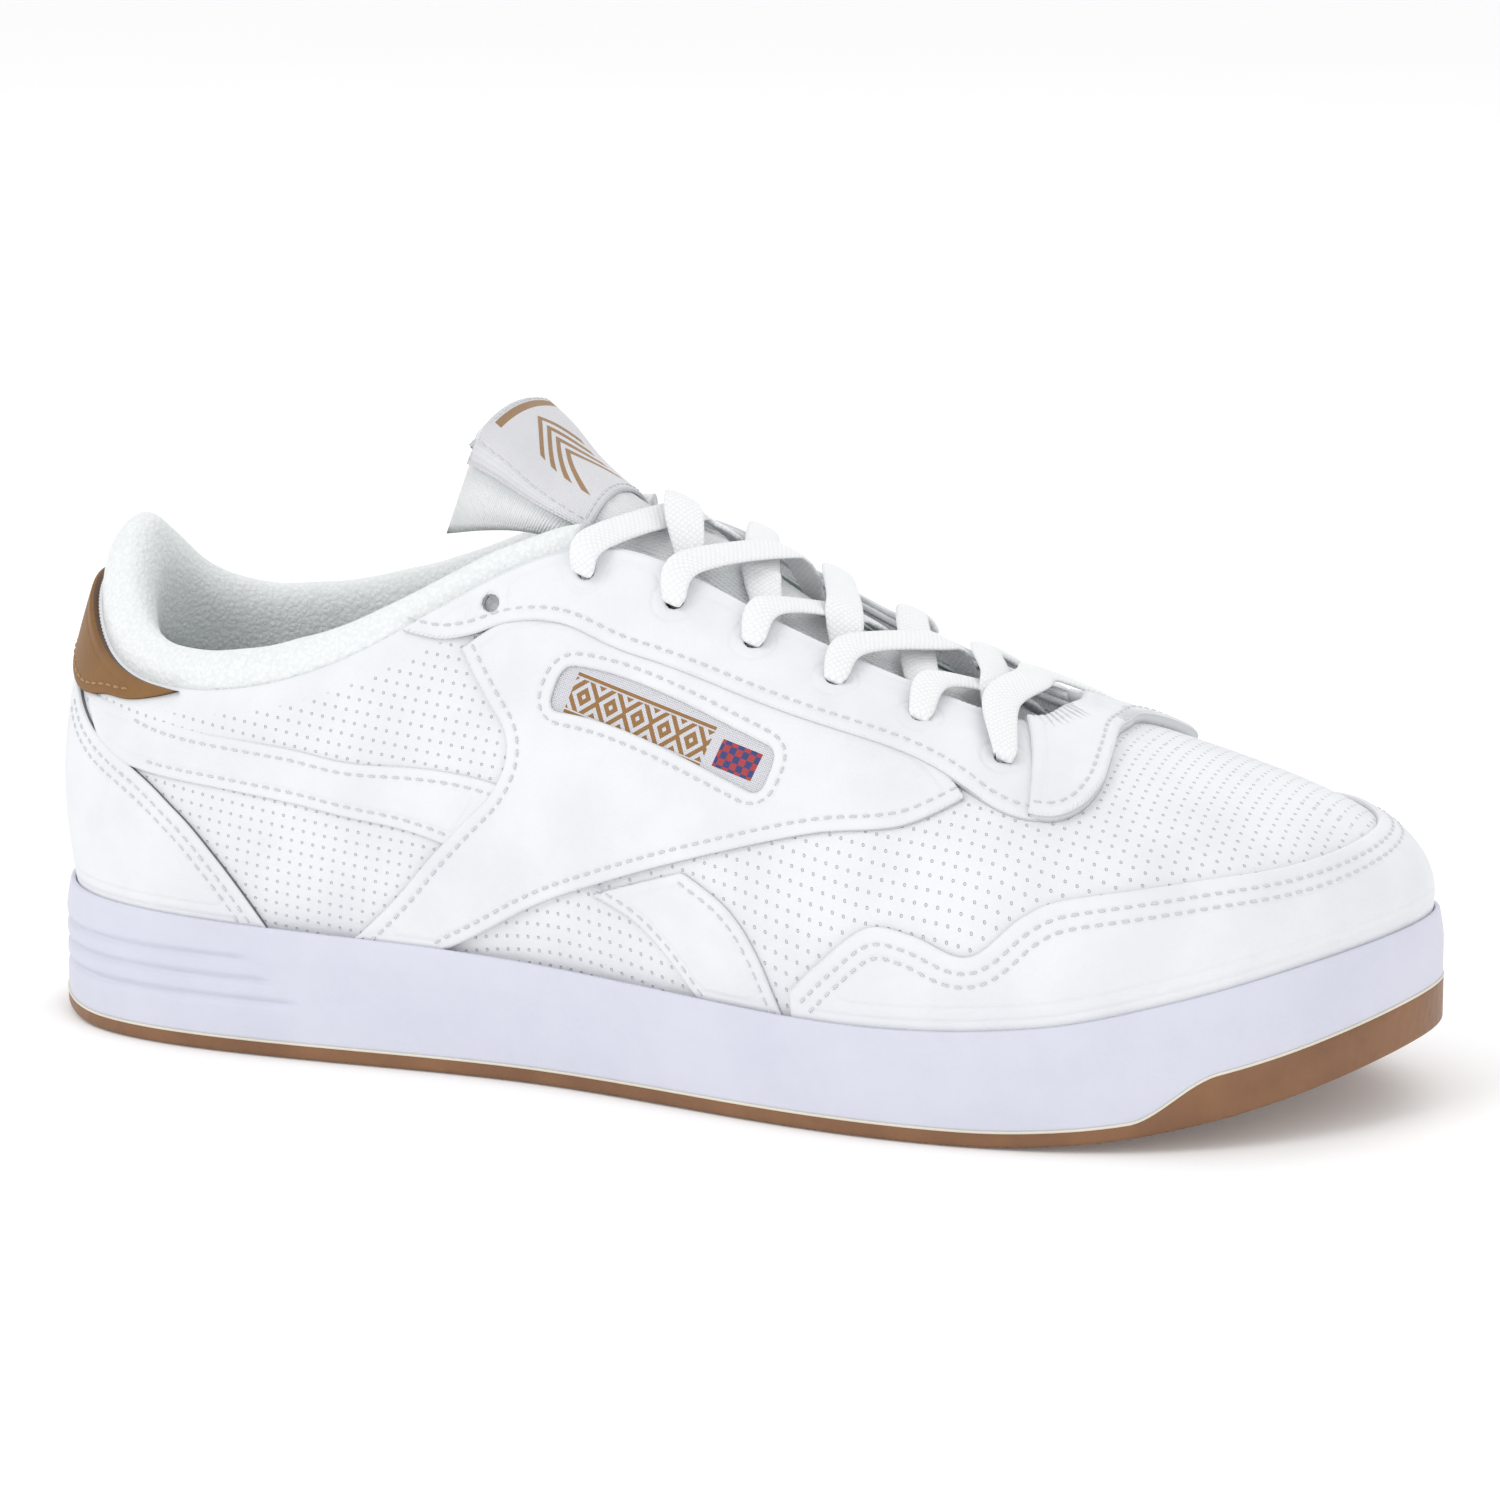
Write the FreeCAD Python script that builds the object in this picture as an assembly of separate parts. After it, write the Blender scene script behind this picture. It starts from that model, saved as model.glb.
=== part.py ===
import FreeCAD, Part
import math
import os

# Right court shoe.  +X runs to the toe, -Y is the outer (lateral) side, +Z is up.
# The origin is on the ground under the middle of the sole.  Every size is in millimetres.

# Driving sizes
SOLE_LENGTH = 300.0
BALL_WIDTH = 108.0
COLLAR_HEIGHT = 93.0
LEATHER = 1.4
PADDING = 1.9
LINING = 0.8
GAP = 0.1
MOVING_GAP = 0.4

# Sole
GUM = 3.2
BUMPER_HEIGHT = 9.5
BUMPER_START = 108.0
BUMPER_WALL = 2.6
CUP_FLOOR = 2.6
CUP_WALL = 3.6
LASTING = 10.0
BOARD = 1.5
SOCK_FOAM = 3.6
SOCK_CLOTH = 0.8
SOCK_REST = 8.5
GROOVE_DEPTH = 0.8
GROOVE_HEIGHT = 1.3
TRIM = 0.3

# Lacing
EYELET_RADIUS = 1.9
LACE_WIDTH = 8.0
LACE_THICK = 1.2
AGLET_LENGTH = 22.0

# Tongue
TONGUE_PAD = 5.0
TONGUE_SKIN = 0.9

# The last is drawn for a 300 mm sole, a 108 mm ball and a 93 mm collar, then stretched.
STRETCH = (SOLE_LENGTH / 300.0, BALL_WIDTH / 108.0, COLLAR_HEIGHT / 93.0)

# One row per station round the shoe: heel, then the lateral side, the toe and the medial side.
# feather x, y; top line x, y, z; outward lean, rise of the wall, crown reach and crown drop
STATIONS = [
    (-144, 0, -139, 0, 93, 4, 0.40, 7, 22),
    (-133, -26, -129, -22, 80, 4, 0.40, 7, 18),
    (-104, -37, -103, -34, 75, 4, 0.40, 5, 16),
    (-65, -38, -66, -33, 86, 5, 0.40, 7, 20),
    (-25, -39, -23, -24, 108, 6, 0.40, 9, 28),
    (15, -47, 14, -20, 97, 6, 0.40, 15, 14),
    (52, -53, 47, -17, 83, 5, 0.45, 22, 7),
    (90, -50, 69, -13, 76, 4, 0.50, 28, 8),
    (124, -32, 74, -7, 77, 3, 0.50, 36, 12),
    (146, 6, 75, 0, 77, 3, 0.50, 46, 14),
    (132, 34, 74, 7, 77, 3, 0.50, 38, 12),
    (100, 47, 69, 13, 76, 4, 0.50, 28, 8),
    (62, 48, 47, 17, 83, 5, 0.45, 20, 7),
    (22, 40, 14, 20, 97, 6, 0.40, 13, 14),
    (-20, 33, -23, 24, 108, 7, 0.40, 9, 28),
    (-62, 33, -66, 33, 90, 6, 0.40, 6, 20),
    (-103, 35, -103, 34, 80, 4, 0.40, 5, 16),
    (-133, 25, -129, 22, 83, 4, 0.40, 7, 18),
]
TURN = len(STATIONS)
CROWN_BLEND = 25.0

# Heights along the shoe: (x, z)
FEATHER_LINE = [(-150, 29), (-100, 27.5), (-50, 26), (0, 23.5), (50, 22), (85, 24.5),
                (110, 30), (130, 35), (150, 39.5)]
GROUND_LINE = [(-150, 4), (-138, 1), (-126, 0), (60, 0), (80, 0.4), (100, 2.6), (125, 8.2), (150, 16.5)]


# ---------------------------------------------------------------- curves

def smooth_ring(points):
    """Control points of the closed cubic curve that passes through the given points."""
    ring = [list(p) for p in points]
    for _ in range(60):
        for k, point in enumerate(points):
            before = ring[k - 1]
            after = ring[(k + 1) % len(ring)]
            ring[k] = [(6 * p - a - b) / 4 for p, a, b in zip(point, before, after)]
    return ring


def on_ring(ring, t):
    """Point of a closed cubic curve at t, counted in control points."""
    first = math.floor(t)
    f = t - first
    weights = ((1 - f) ** 3 / 6, (3 * f ** 3 - 6 * f ** 2 + 4) / 6,
               (-3 * f ** 3 + 3 * f ** 2 + 3 * f + 1) / 6, f ** 3 / 6)
    near = [ring[(first - 1 + k) % len(ring)] for k in range(4)]
    return [sum(w * p[axis] for w, p in zip(weights, near)) for axis in range(len(ring[0]))]


def along(points, t):
    """Smooth open curve through the points, with t from 0 to 1."""
    spans = len(points) - 1
    place = min(max(t, 0.0), 1.0) * spans
    k = min(int(place), spans - 1)
    f = place - k
    p0 = points[max(k - 1, 0)]
    p1 = points[k]
    p2 = points[k + 1]
    p3 = points[min(k + 2, spans)]
    return [0.5 * (2 * b + (c - a) * f + (2 * a - 5 * b + 4 * c - d) * f ** 2
                   + (3 * b - a - 3 * c + d) * f ** 3) for a, b, c, d in zip(p0, p1, p2, p3)]


def height(line, x):
    """Height of a profile line at x, smooth between its points."""
    x = x / STRETCH[0]
    if x <= line[0][0]:
        return line[0][1]
    if x >= line[-1][0]:
        return line[-1][1]
    k = 0
    while line[k + 1][0] < x:
        k += 1
    slopes = []
    for j in (k, k + 1):
        a = line[max(j - 1, 0)]
        b = line[min(j + 1, len(line) - 1)]
        slopes.append((b[1] - a[1]) / (b[0] - a[0]))
    step = line[k + 1][0] - line[k][0]
    t = (x - line[k][0]) / step
    return ((2 * t ** 3 - 3 * t ** 2 + 1) * line[k][1] + (t ** 3 - 2 * t ** 2 + t) * slopes[0] * step
            + (3 * t ** 2 - 2 * t ** 3) * line[k + 1][1] + (t ** 3 - t ** 2) * slopes[1] * step)


def unit(v):
    size = math.sqrt(sum(c * c for c in v))
    return [c / size for c in v]


def cross(a, b):
    return [a[1] * b[2] - a[2] * b[1], a[2] * b[0] - a[0] * b[2], a[0] * b[1] - a[1] * b[0]]


def mix(a, b, t):
    return [p + (q - p) * t for p, q in zip(a, b)]


# ---------------------------------------------------------------- the last

def stretched_stations():
    """Stations at the driving sizes; the wall's height is stretched above the feather line."""
    sx, sy, sz = STRETCH
    made = []
    for fx, fy, tx, ty, tz, lean, rise, reach, drop in STATIONS:
        base = height(FEATHER_LINE, fx * sx)
        made.append((fx * sx, fy * sy, tx * sx, ty * sy, base + (tz - base) * sz, lean, rise, reach * sy, drop * sz))
    return made


RAILS = smooth_ring(stretched_stations())


def outward(u):
    """Level direction away from the shoe at the feather line."""
    step = 0.01
    a = on_ring(RAILS, u - step)
    b = on_ring(RAILS, u + step)
    return unit([b[1] - a[1], a[0] - b[0], 0.0])


def feather(u, offset=0.0):
    rail = on_ring(RAILS, u)
    n = outward(u)
    return rail[0] + n[0] * offset, rail[1] + n[1] * offset


def last(u, v):
    """Outside of the base leather: v is 0 at the feather line and 1 at the top line."""
    fx, fy, tx, ty, tz, lean, rise, reach, drop = on_ring(RAILS, u)
    fz = height(FEATHER_LINE, fx)
    n = outward(u)
    if v < 0:
        return [fx, fy, fz + v * 100]
    run = math.hypot(fx - tx, fy - ty)
    share = min(1.0, run / CROWN_BLEND)
    crown = unit([(fx - tx) / run * share + n[0] * (1 - share),
                  (fy - ty) / run * share + n[1] * (1 - share), 0.0])
    p0 = (fx, fy, fz)
    p1 = (fx + n[0] * lean, fy + n[1] * lean, fz + rise * (tz - fz))
    p2 = (tx + crown[0] * reach, ty + crown[1] * reach, tz - drop)
    p3 = (tx, ty, tz)
    w = ((1 - v) ** 3, 3 * v * (1 - v) ** 2, 3 * v * v * (1 - v), v ** 3)
    return [w[0] * a + w[1] * b + w[2] * c + w[3] * d for a, b, c, d in zip(p0, p1, p2, p3)]


def last_normal(u, v):
    if v < 0:
        return outward(u)
    step = 0.002
    du = [b - a for a, b in zip(last(u - step, v), last(u + step, v))]
    dv = [b - a for a, b in zip(last(u, max(v - step, 0)), last(u, min(v + step, 1)))]
    return unit(cross(du, dv))


def skin(u, v, offset):
    """Point at a distance outside (+) or inside (-) of the last."""
    return [p + n * offset for p, n in zip(last(u, v), last_normal(u, v))]


# ---------------------------------------------------------------- solids

def grid_face(grid):
    surface = Part.BSplineSurface()
    surface.interpolate([[FreeCAD.Vector(*p) for p in row] for row in grid])
    return surface


def iso_edge(surface, along_u, at_end):
    u0, u1, v0, v1 = surface.bounds()
    if along_u:
        return surface.vIso(v1 if at_end else v0).toShape()
    return surface.uIso(u1 if at_end else u0).toShape()


def sheet_solid(outer, inner):
    """Closed solid between two grids of points of the same size."""
    top = grid_face(outer)
    bottom = grid_face(inner)
    faces = [top.toShape(), bottom.toShape()]
    for along_u in (True, False):
        for at_end in (True, False):
            faces.append(Part.makeRuledSurface(iso_edge(top, along_u, at_end),
                                               iso_edge(bottom, along_u, at_end), 1))
    shell = Part.makeShell(faces)
    shell.sewShape()
    solid = Part.makeSolid(shell)
    if solid.Volume < 0:
        solid.reverse()
    return solid


def strip(edge_a, edge_b, outer, inner, rows=30, columns=8):
    """Panel between two seam lines given as (u, v) points, from one offset to another."""
    grids = []
    for offset in (outer, inner):
        grid = []
        for i in range(rows + 1):
            a = along(edge_a, i / rows)
            b = along(edge_b, i / rows)
            grid.append([skin(*mix(a, b, j / columns), offset) for j in range(columns + 1)])
        grids.append(grid)
    return sheet_solid(*grids)


def ring_wire(offset, z, count=72):
    points = [FreeCAD.Vector(*feather(TURN * k / count, offset), z) for k in range(count)]
    curve = Part.BSplineCurve()
    curve.interpolate(Points=points, PeriodicFlag=True)
    return Part.Wire([curve.toShape()])


def prism(offset, z0=-5.0, z1=60.0):
    """Upright block that follows the feather line at one offset."""
    face = Part.Face(ring_wire(offset, z0))
    return face.extrude(FreeCAD.Vector(0, 0, z1 - z0))


def profile_slab(low, high):
    """Slab between two heights given as functions of x, wider than the shoe."""
    reach = SOLE_LENGTH / 2 + 12
    width = BALL_WIDTH
    xs = [-reach + 2 * reach * k / 60 for k in range(61)]
    edges = []
    for rule in (low, high):
        curve = Part.BSplineCurve()
        curve.interpolate([FreeCAD.Vector(x, -width, rule(x)) for x in xs])
        edges.append(curve.toShape())
    ends = [Part.makeLine(edges[0].valueAt(edges[0].FirstParameter), edges[1].valueAt(edges[1].FirstParameter)),
            Part.makeLine(edges[0].valueAt(edges[0].LastParameter), edges[1].valueAt(edges[1].LastParameter))]
    wire = Part.Wire(Part.__sortEdges__(edges + ends))
    return Part.Face(wire).extrude(FreeCAD.Vector(0, 2 * width, 0))


def layer(offset, low, high):
    """Flat piece inside the feather line, between two heights."""
    return prism(offset).common(profile_slab(low, high))


# ---------------------------------------------------------------- heights and depths

def ground(x):
    return max(0.0, height(GROUND_LINE, x))


def lip(x):
    return height(FEATHER_LINE, x)


def gum_top(x):
    return ground(x) + GUM


def cup_floor(x):
    return ground(x) + GUM + CUP_FLOOR


def board_low(x):
    return lip(x) - LASTING - 0.3


def board_top(x):
    return board_low(x) + BOARD


BACKING = -(LEATHER + GAP)
BACKING_END = BACKING - PADDING
LINING_OUT = BACKING_END - GAP
LINING_IN = LINING_OUT - LINING
OVERLAY_LOW = 0.05
OVERLAY_TOP = OVERLAY_LOW + LEATHER - 0.15
LASTED = -LASTING / 100
LIP_V = 0.015


def mirrored(seam):
    """The same seam on the medial side."""
    return [(TURN - u, v) for u, v in seam]


# ---------------------------------------------------------------- seams, as (u, v) points

COLLAR_END = 4.00
LINING_SEAM = 4.16
COUNTER_END = 2.42

MUDGUARD_TOP = [(5.50, 0.06), (5.68, 0.14), (5.95, 0.24), (6.20, 0.235), (6.50, 0.19), (6.78, 0.30),
                (7.05, 0.35), (7.70, 0.355), (8.30, 0.34), (9.00, 0.38), (9.70, 0.42), (10.30, 0.40),
                (10.95, 0.35), (11.22, 0.30), (11.50, 0.19), (11.80, 0.235), (12.05, 0.24),
                (12.32, 0.14), (12.50, 0.06)]
COUNTER_FRONT = [(2.43, LIP_V), (2.20, 0.25), (1.93, 0.45), (1.53, 0.62), (0.75, 0.74)]
TAB_LOW = [(1.86, 0.985), (1.45, 0.90), (1.18, 0.86), (0.76, 0.765), (0.0, 0.75),
           (-0.76, 0.765), (-1.18, 0.86), (-1.45, 0.90), (-1.86, 0.985)]
BAND_TOP = [(1.52, 0.87), (2.18, 0.80), (2.60, 0.72), (2.95, 0.61), (3.30, 0.53), (3.70, 0.44)]
BAND_LOW = [(1.66, 0.61), (2.18, 0.57), (2.60, 0.50), (2.95, 0.41), (3.25, 0.34), (3.46, 0.29)]
SADDLE_REAR = [(3.50, 0.84), (3.58, 0.75), (3.68, 0.65), (3.78, 0.56), (3.80, 0.48), (3.73, 0.40),
               (3.58, 0.33), (3.40, 0.24), (3.23, 0.14), (2.97, LIP_V)]
SADDLE_FRONT = [(6.45, 0.63), (6.10, 0.51), (5.60, 0.44), (5.00, 0.33), (4.40, 0.21), (4.00, 0.13),
                (3.70, 0.055), (3.48, LIP_V)]
SADDLE_TOP = [(3.50, 0.84), (3.73, 0.83), (4.00, 0.79), (4.30, 0.735), (4.60, 0.712), (5.28, 0.695),
              (5.93, 0.695), (6.25, 0.67), (6.45, 0.63)]
SADDLE_BOTTOM = [(2.97, LIP_V), (3.48, LIP_V)]
STAY_EDGE = [(3.28, 0.945), (3.40, 0.895), (3.55, 0.865), (3.73, 0.855), (4.00, 0.815), (4.30, 0.755),
             (4.60, 0.735), (5.28, 0.715), (5.93, 0.715), (6.23, 0.695), (6.45, 0.655), (6.68, 0.610),
             (6.88, 0.597)]
STAY_THROAT = [(3.20, 0.99), (4.00, 0.99), (5.00, 0.99), (6.00, 0.99), (7.55, 0.99)]
FRONT_STAY_EDGE = [(6.92, 0.597), (7.05, 0.60), (7.23, 0.64), (7.45, 0.71), (7.80, 0.81), (8.35, 0.89),
                   (9.00, 0.91), (9.65, 0.89), (10.20, 0.81), (10.55, 0.71), (10.77, 0.64),
                   (10.95, 0.60), (11.08, 0.597)]
FRONT_STAY_THROAT = [(7.60, 0.99), (9.00, 0.99), (10.40, 0.99)]
WINDOW_LOW = [(3.99, 0.600), (5.27, 0.490)]
WINDOW_HIGH = [(4.04, 0.712), (5.33, 0.615)]
LABEL_LOW = [(4.01, 0.606), (5.26, 0.498)]
LABEL_HIGH = [(4.05, 0.704), (5.31, 0.608)]
SUPPORT_REAR = [(4.32, 0.175), (4.56, 0.14), (4.75, 0.08), (4.88, LIP_V)]
SUPPORT_FRONT = [(4.85, 0.275), (5.12, 0.22), (5.30, 0.13), (5.40, LIP_V)]
EYELETS = [(3.62, 0.930), (4.08, 0.940), (4.58, 0.905), (5.05, 0.885), (5.55, 0.870), (6.10, 0.850),
           (6.70, 0.800)]


def patch(edge_a, edge_b, outer, inner, start=None, end=None, rows=30, columns=8):
    """Panel inside four seams; start and end join the first and the last points of a and b."""
    start = start or [edge_a[0], edge_b[0]]
    end = end or [edge_a[-1], edge_b[-1]]
    grids = []
    for offset in (outer, inner):
        grid = []
        for i in range(rows + 1):
            s = i / rows
            row = []
            for j in range(columns + 1):
                t = j / columns
                across = mix(along(edge_a, s), along(edge_b, s), t)
                down = mix(along(start, t), along(end, t), s)
                flat = mix(mix(edge_a[0], edge_b[0], t), mix(edge_a[-1], edge_b[-1], t), s)
                row.append(skin(*[a + d - f for a, d, f in zip(across, down, flat)], offset))
            grid.append(row)
        grids.append(grid)
    return sheet_solid(*grids)


def field(u0, u1, v0, v1, outer, inner, rows=30, columns=8):
    """Panel with straight edges."""
    steps = [u0 + (u1 - u0) * k / 6 for k in range(7)]
    return strip([(u, v0) for u in steps], [(u, v1) for u in steps], outer, inner, rows, columns)


def overlay(edge_a, edge_b, **seams):
    return patch(edge_a, edge_b, OVERLAY_TOP, OVERLAY_LOW, **seams)


def join(shapes):
    return Part.makeCompound(shapes)


# ---------------------------------------------------------------- sole

def outsole():
    """Gum outsole, trimmed by the floor so that its contact patch is truly flat."""
    plate = layer(CUP_WALL - 0.8, lambda x: ground(x) - TRIM * (ground(x) <= 0.0), gum_top)
    plate = plate.cut(Part.makeBox(500, 300, 20, FreeCAD.Vector(-250, -150, -20)))
    wall = layer(CUP_WALL, gum_top, lambda x: ground(x) + BUMPER_HEIGHT).cut(prism(CUP_WALL - BUMPER_WALL))
    front = Part.makeBox(100, 300, 120, FreeCAD.Vector(BUMPER_START * STRETCH[0], -150, -20))
    return plate.fuse(wall.common(front))


def cupsole():
    body = layer(CUP_WALL, lambda x: gum_top(x) + GAP, lip)
    body = body.cut(layer(GAP, cup_floor, lambda x: lip(x) + 20))
    bumper = layer(CUP_WALL + 5, lambda x: ground(x) - 2, lambda x: ground(x) + BUMPER_HEIGHT + GAP)
    front = Part.makeBox(100, 300, 120, FreeCAD.Vector(BUMPER_START * STRETCH[0] - GAP, -150, -20))
    body = body.cut(bumper.cut(prism(CUP_WALL - BUMPER_WALL - GAP)).common(front))
    for k, reach in enumerate((-98, -92, -86)):
        low = 11.5 + 4.2 * k
        rib = layer(CUP_WALL + 5, lambda x: low, lambda x: low + GROOVE_HEIGHT).cut(prism(CUP_WALL - GROOVE_DEPTH))
        body = body.cut(rib.common(Part.makeBox(90, 300, 60, FreeCAD.Vector(reach * STRETCH[0] - 90, -150, 0))))
    return body


def midsole_foam():
    return layer(-0.2, lambda x: cup_floor(x) + GAP, lambda x: board_low(x) - GAP)


def strobel_board():
    return layer(LINING_IN - 0.2, board_low, board_top)


def sock_layer(low, high):
    return layer(LINING_IN - 1.4, lambda x: lip(x) - SOCK_REST + low, lambda x: lip(x) - SOCK_REST + high)


def sockliner_foam():
    return sock_layer(0.0, SOCK_FOAM)


def sockliner_cloth():
    return sock_layer(SOCK_FOAM, SOCK_FOAM + SOCK_CLOTH)


# ---------------------------------------------------------------- base upper and linings

QUARTER_FOOT = 3.22
QUARTER_HEAD = 6.12


def quarter(side):
    low = [(0.02, LASTED), (1.0, LASTED), (2.1, LASTED), (QUARTER_FOOT, LASTED)]
    high = [(0.02, 1.0), (2.0, 1.0), (4.0, 1.0), (QUARTER_HEAD, 1.0)]
    if side > 0:
        low, high = mirrored(low), mirrored(high)
    return strip(low, high, 0.0, -LEATHER, rows=44, columns=12)


def vamp():
    low = [(QUARTER_FOOT + 0.03 + (TURN - 2 * QUARTER_FOOT - 0.06) * k / 8, LASTED) for k in range(9)]
    high = [(QUARTER_HEAD + 0.03 + (TURN - 2 * QUARTER_HEAD - 0.06) * k / 8, 1.0) for k in range(9)]
    return strip(low, high, 0.0, -LEATHER, rows=60, columns=12)


def backing(u0, u1, v0, v1):
    return field(u0, u1, v0, v1, BACKING, BACKING_END)


def toe_puff():
    return backing(7.32, 10.68, LASTED, 0.42)


def heel_counter():
    return backing(-COUNTER_END, COUNTER_END, LASTED, 0.60)


def vamp_padding():
    sides = [backing(LINING_SEAM, 7.28, LASTED, 0.74), backing(TURN - 7.28, TURN - LINING_SEAM, LASTED, 0.74)]
    return join(sides + [backing(7.32, 10.68, 0.44, 0.97)])


def quarter_padding(side):
    ends = (COUNTER_END + 0.04, LINING_SEAM - 0.04)
    if side > 0:
        ends = (TURN - ends[1], TURN - ends[0])
    return backing(ends[0], ends[1], LASTED, 0.60)


def eyelet_tape(side):
    ends = (LINING_SEAM, 7.28) if side < 0 else (TURN - 7.28, TURN - LINING_SEAM)
    return backing(ends[0], ends[1], 0.755, 0.985)


def quarter_lining(side):
    ends = (0.02, LINING_SEAM - 0.02) if side < 0 else (TURN - LINING_SEAM + 0.02, TURN - 0.02)
    return field(ends[0], ends[1], LASTED, 0.58, LINING_OUT, LINING_IN, rows=30)


def vamp_lining():
    return field(LINING_SEAM, TURN - LINING_SEAM, LASTED, 1.0, LINING_OUT, LINING_IN, rows=60, columns=12)


# ---------------------------------------------------------------- overlays

def mudguard():
    return overlay([(u, LIP_V) for u, v in MUDGUARD_TOP], MUDGUARD_TOP, rows=60)


def heel_overlay():
    return overlay(COUNTER_FRONT, [(-u, v) for u, v in COUNTER_FRONT], columns=16)


def heel_tab():
    return overlay(TAB_LOW, [(u, 0.995) for u, v in TAB_LOW], rows=40)


def sided(side, *seams):
    return seams if side < 0 else [mirrored(seam) for seam in seams]


def band(side):
    return overlay(*sided(side, BAND_TOP, BAND_LOW))


def saddle(side):
    rear, front, top, bottom = sided(side, SADDLE_REAR, SADDLE_FRONT, SADDLE_TOP, SADDLE_BOTTOM)
    panel = overlay(rear, front, start=top, end=bottom, rows=40, columns=20)
    if side < 0:
        panel = panel.cut(strip(WINDOW_LOW, WINDOW_HIGH, 3.0, -0.5))
    return panel


def side_label():
    return strip(LABEL_LOW, LABEL_HIGH, OVERLAY_LOW + 0.7, OVERLAY_LOW)


def forefoot_support(side):
    return overlay(*sided(side, SUPPORT_REAR, SUPPORT_FRONT))


def eyestay(side):
    return overlay(*sided(side, STAY_THROAT, STAY_EDGE), rows=50)


def front_stay():
    return overlay(FRONT_STAY_THROAT, FRONT_STAY_EDGE, rows=14, columns=3)


# ---------------------------------------------------------------- collar roll

TERRY = 1.0
ROLL_RISE = 7.4
ROLL_DEPTH = 9.5
ROLL_DEPTH_FRONT = 5.5
HEEL_RISE = 4.8
HEEL_DEPTH = 3.0
ROLL_FOOT = 0.60
FOAM_HEAD = 0.93
FOAM_END = 0.62
ROLL_FOOT_OFFSET = LINING_IN - GAP


def at_heel(u):
    """1 at the back of the heel, falling to 0 beside it."""
    return max(0.0, 1 - (u / 1.7) ** 2) ** 2


def roll_depth(u):
    """The roll thins toward the throat."""
    share = min(max((abs(u) - 2.6) / 0.9, 0.0), 1.0)
    return ROLL_DEPTH + (ROLL_DEPTH_FRONT - ROLL_DEPTH) * share + HEEL_DEPTH * at_heel(u)


def roll_rise(u):
    share = min(max((abs(u) - 2.6) / 1.5, 0.0), 1.0)
    return ROLL_RISE * (1 - 0.45 * share) + HEEL_RISE * at_heel(u)


def roll_path(u):
    """Points of the padded collar from behind the leather, over the crest and down inside."""
    depth = roll_depth(u)
    rise = roll_rise(u)
    top = last(u, 1.0)
    n = outward(u)

    def above(share, lift):
        reach = BACKING - (depth - LEATHER) * share
        return [top[0] + n[0] * reach, top[1] + n[1] * reach, top[2] + lift * rise]

    inside = -(depth + 0.8)
    return [skin(u, 0.95, BACKING), above(-0.10, 0.35), above(0.15, 0.80), above(0.50, 1.0),
            above(0.85, 0.72), above(1.0, 0.1), skin(u, 0.90, inside), skin(u, 0.80, inside * 0.95),
            skin(u, 0.70, 0.6 * inside + 0.4 * ROLL_FOOT_OFFSET), skin(u, ROLL_FOOT, ROLL_FOOT_OFFSET)]


def roll_point(path, n, t, inset):
    """Point on the roll, moved toward its core by the inset."""
    a = along(path, t - 0.01)
    b = along(path, t + 0.01)
    core = unit(cross([q - p for p, q in zip(a, b)], [-n[1], n[0], 0.0]))
    return [p + c * inset for p, c in zip(along(path, t), core)]


def roll_sheet(inset_out, inner_rule):
    rows = 44
    columns = 20
    outer = []
    inner = []
    for i in range(rows + 1):
        u = -COLLAR_END + 2 * COLLAR_END * i / rows
        path = roll_path(u)
        n = outward(u)
        outer.append([roll_point(path, n, j / columns, inset_out) for j in range(columns + 1)])
        inner.append([inner_rule(u, path, n, j / columns) for j in range(columns + 1)])
    return sheet_solid(outer, inner)


def collar_lining():
    return roll_sheet(0.0, lambda u, path, n, t: roll_point(path, n, t, TERRY))


def collar_foam():
    return roll_sheet(TERRY + GAP, lambda u, path, n, t: skin(u, FOAM_HEAD + (FOAM_END - FOAM_HEAD) * t,
                                                              BACKING - GAP))


# ---------------------------------------------------------------- tongue

LACE_ROOM = LACE_THICK + 2 * MOVING_GAP
TONGUE_CROWN = 0.40
TONGUE_TIP_DROP = 4.8


def tongue_row(place):
    """Centre height, half width and edge drop of the tongue; place runs from 0 at its root to 1."""
    sx, sy, sz = STRETCH
    rows = []
    for u in (7.0, 6.4, 5.8, 5.2, 4.6, 4.15):
        edge = skin(u, 1.0, LINING_IN - LACE_ROOM)
        half = abs(edge[1]) - MOVING_GAP
        rows.append((edge[0], edge[2] + TONGUE_CROWN * half, half, TONGUE_CROWN * half))
    tip = last(4.0, 1.0)
    for back, up, half in ((9, 12.5, 19.6), (17, 20.5, 21.0), (23, 25.5, 19.5)):
        rows.append((tip[0] - back * sx, tip[2] + up * sz, half * sy, TONGUE_TIP_DROP))
    return along(rows, place)


def tongue_point(place, across, depth):
    x, z, half, drop = tongue_row(place)
    before = tongue_row(max(place - 0.02, 0.0))
    after = tongue_row(min(place + 0.02, 1.0))
    normal = unit([before[1] - after[1], 0.0, after[0] - before[0]])
    if normal[2] < 0:
        normal = [-c for c in normal]
    return [x - normal[0] * depth, half * across, z - drop * across ** 2 - normal[2] * depth]


def tongue_layer(depth_out, depth_in):
    grids = []
    for depth in (depth_out, depth_in):
        grids.append([[tongue_point(i / 36, -1 + j / 5, depth) for j in range(11)] for i in range(37)])
    return sheet_solid(*grids)


def tongue_face():
    return tongue_layer(0.0, TONGUE_SKIN)


def tongue_foam():
    return tongue_layer(TONGUE_SKIN + GAP, TONGUE_SKIN + GAP + TONGUE_PAD)


def tongue_lining():
    return tongue_layer(TONGUE_SKIN + 2 * GAP + TONGUE_PAD, 2 * TONGUE_SKIN + 2 * GAP + TONGUE_PAD)


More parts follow.
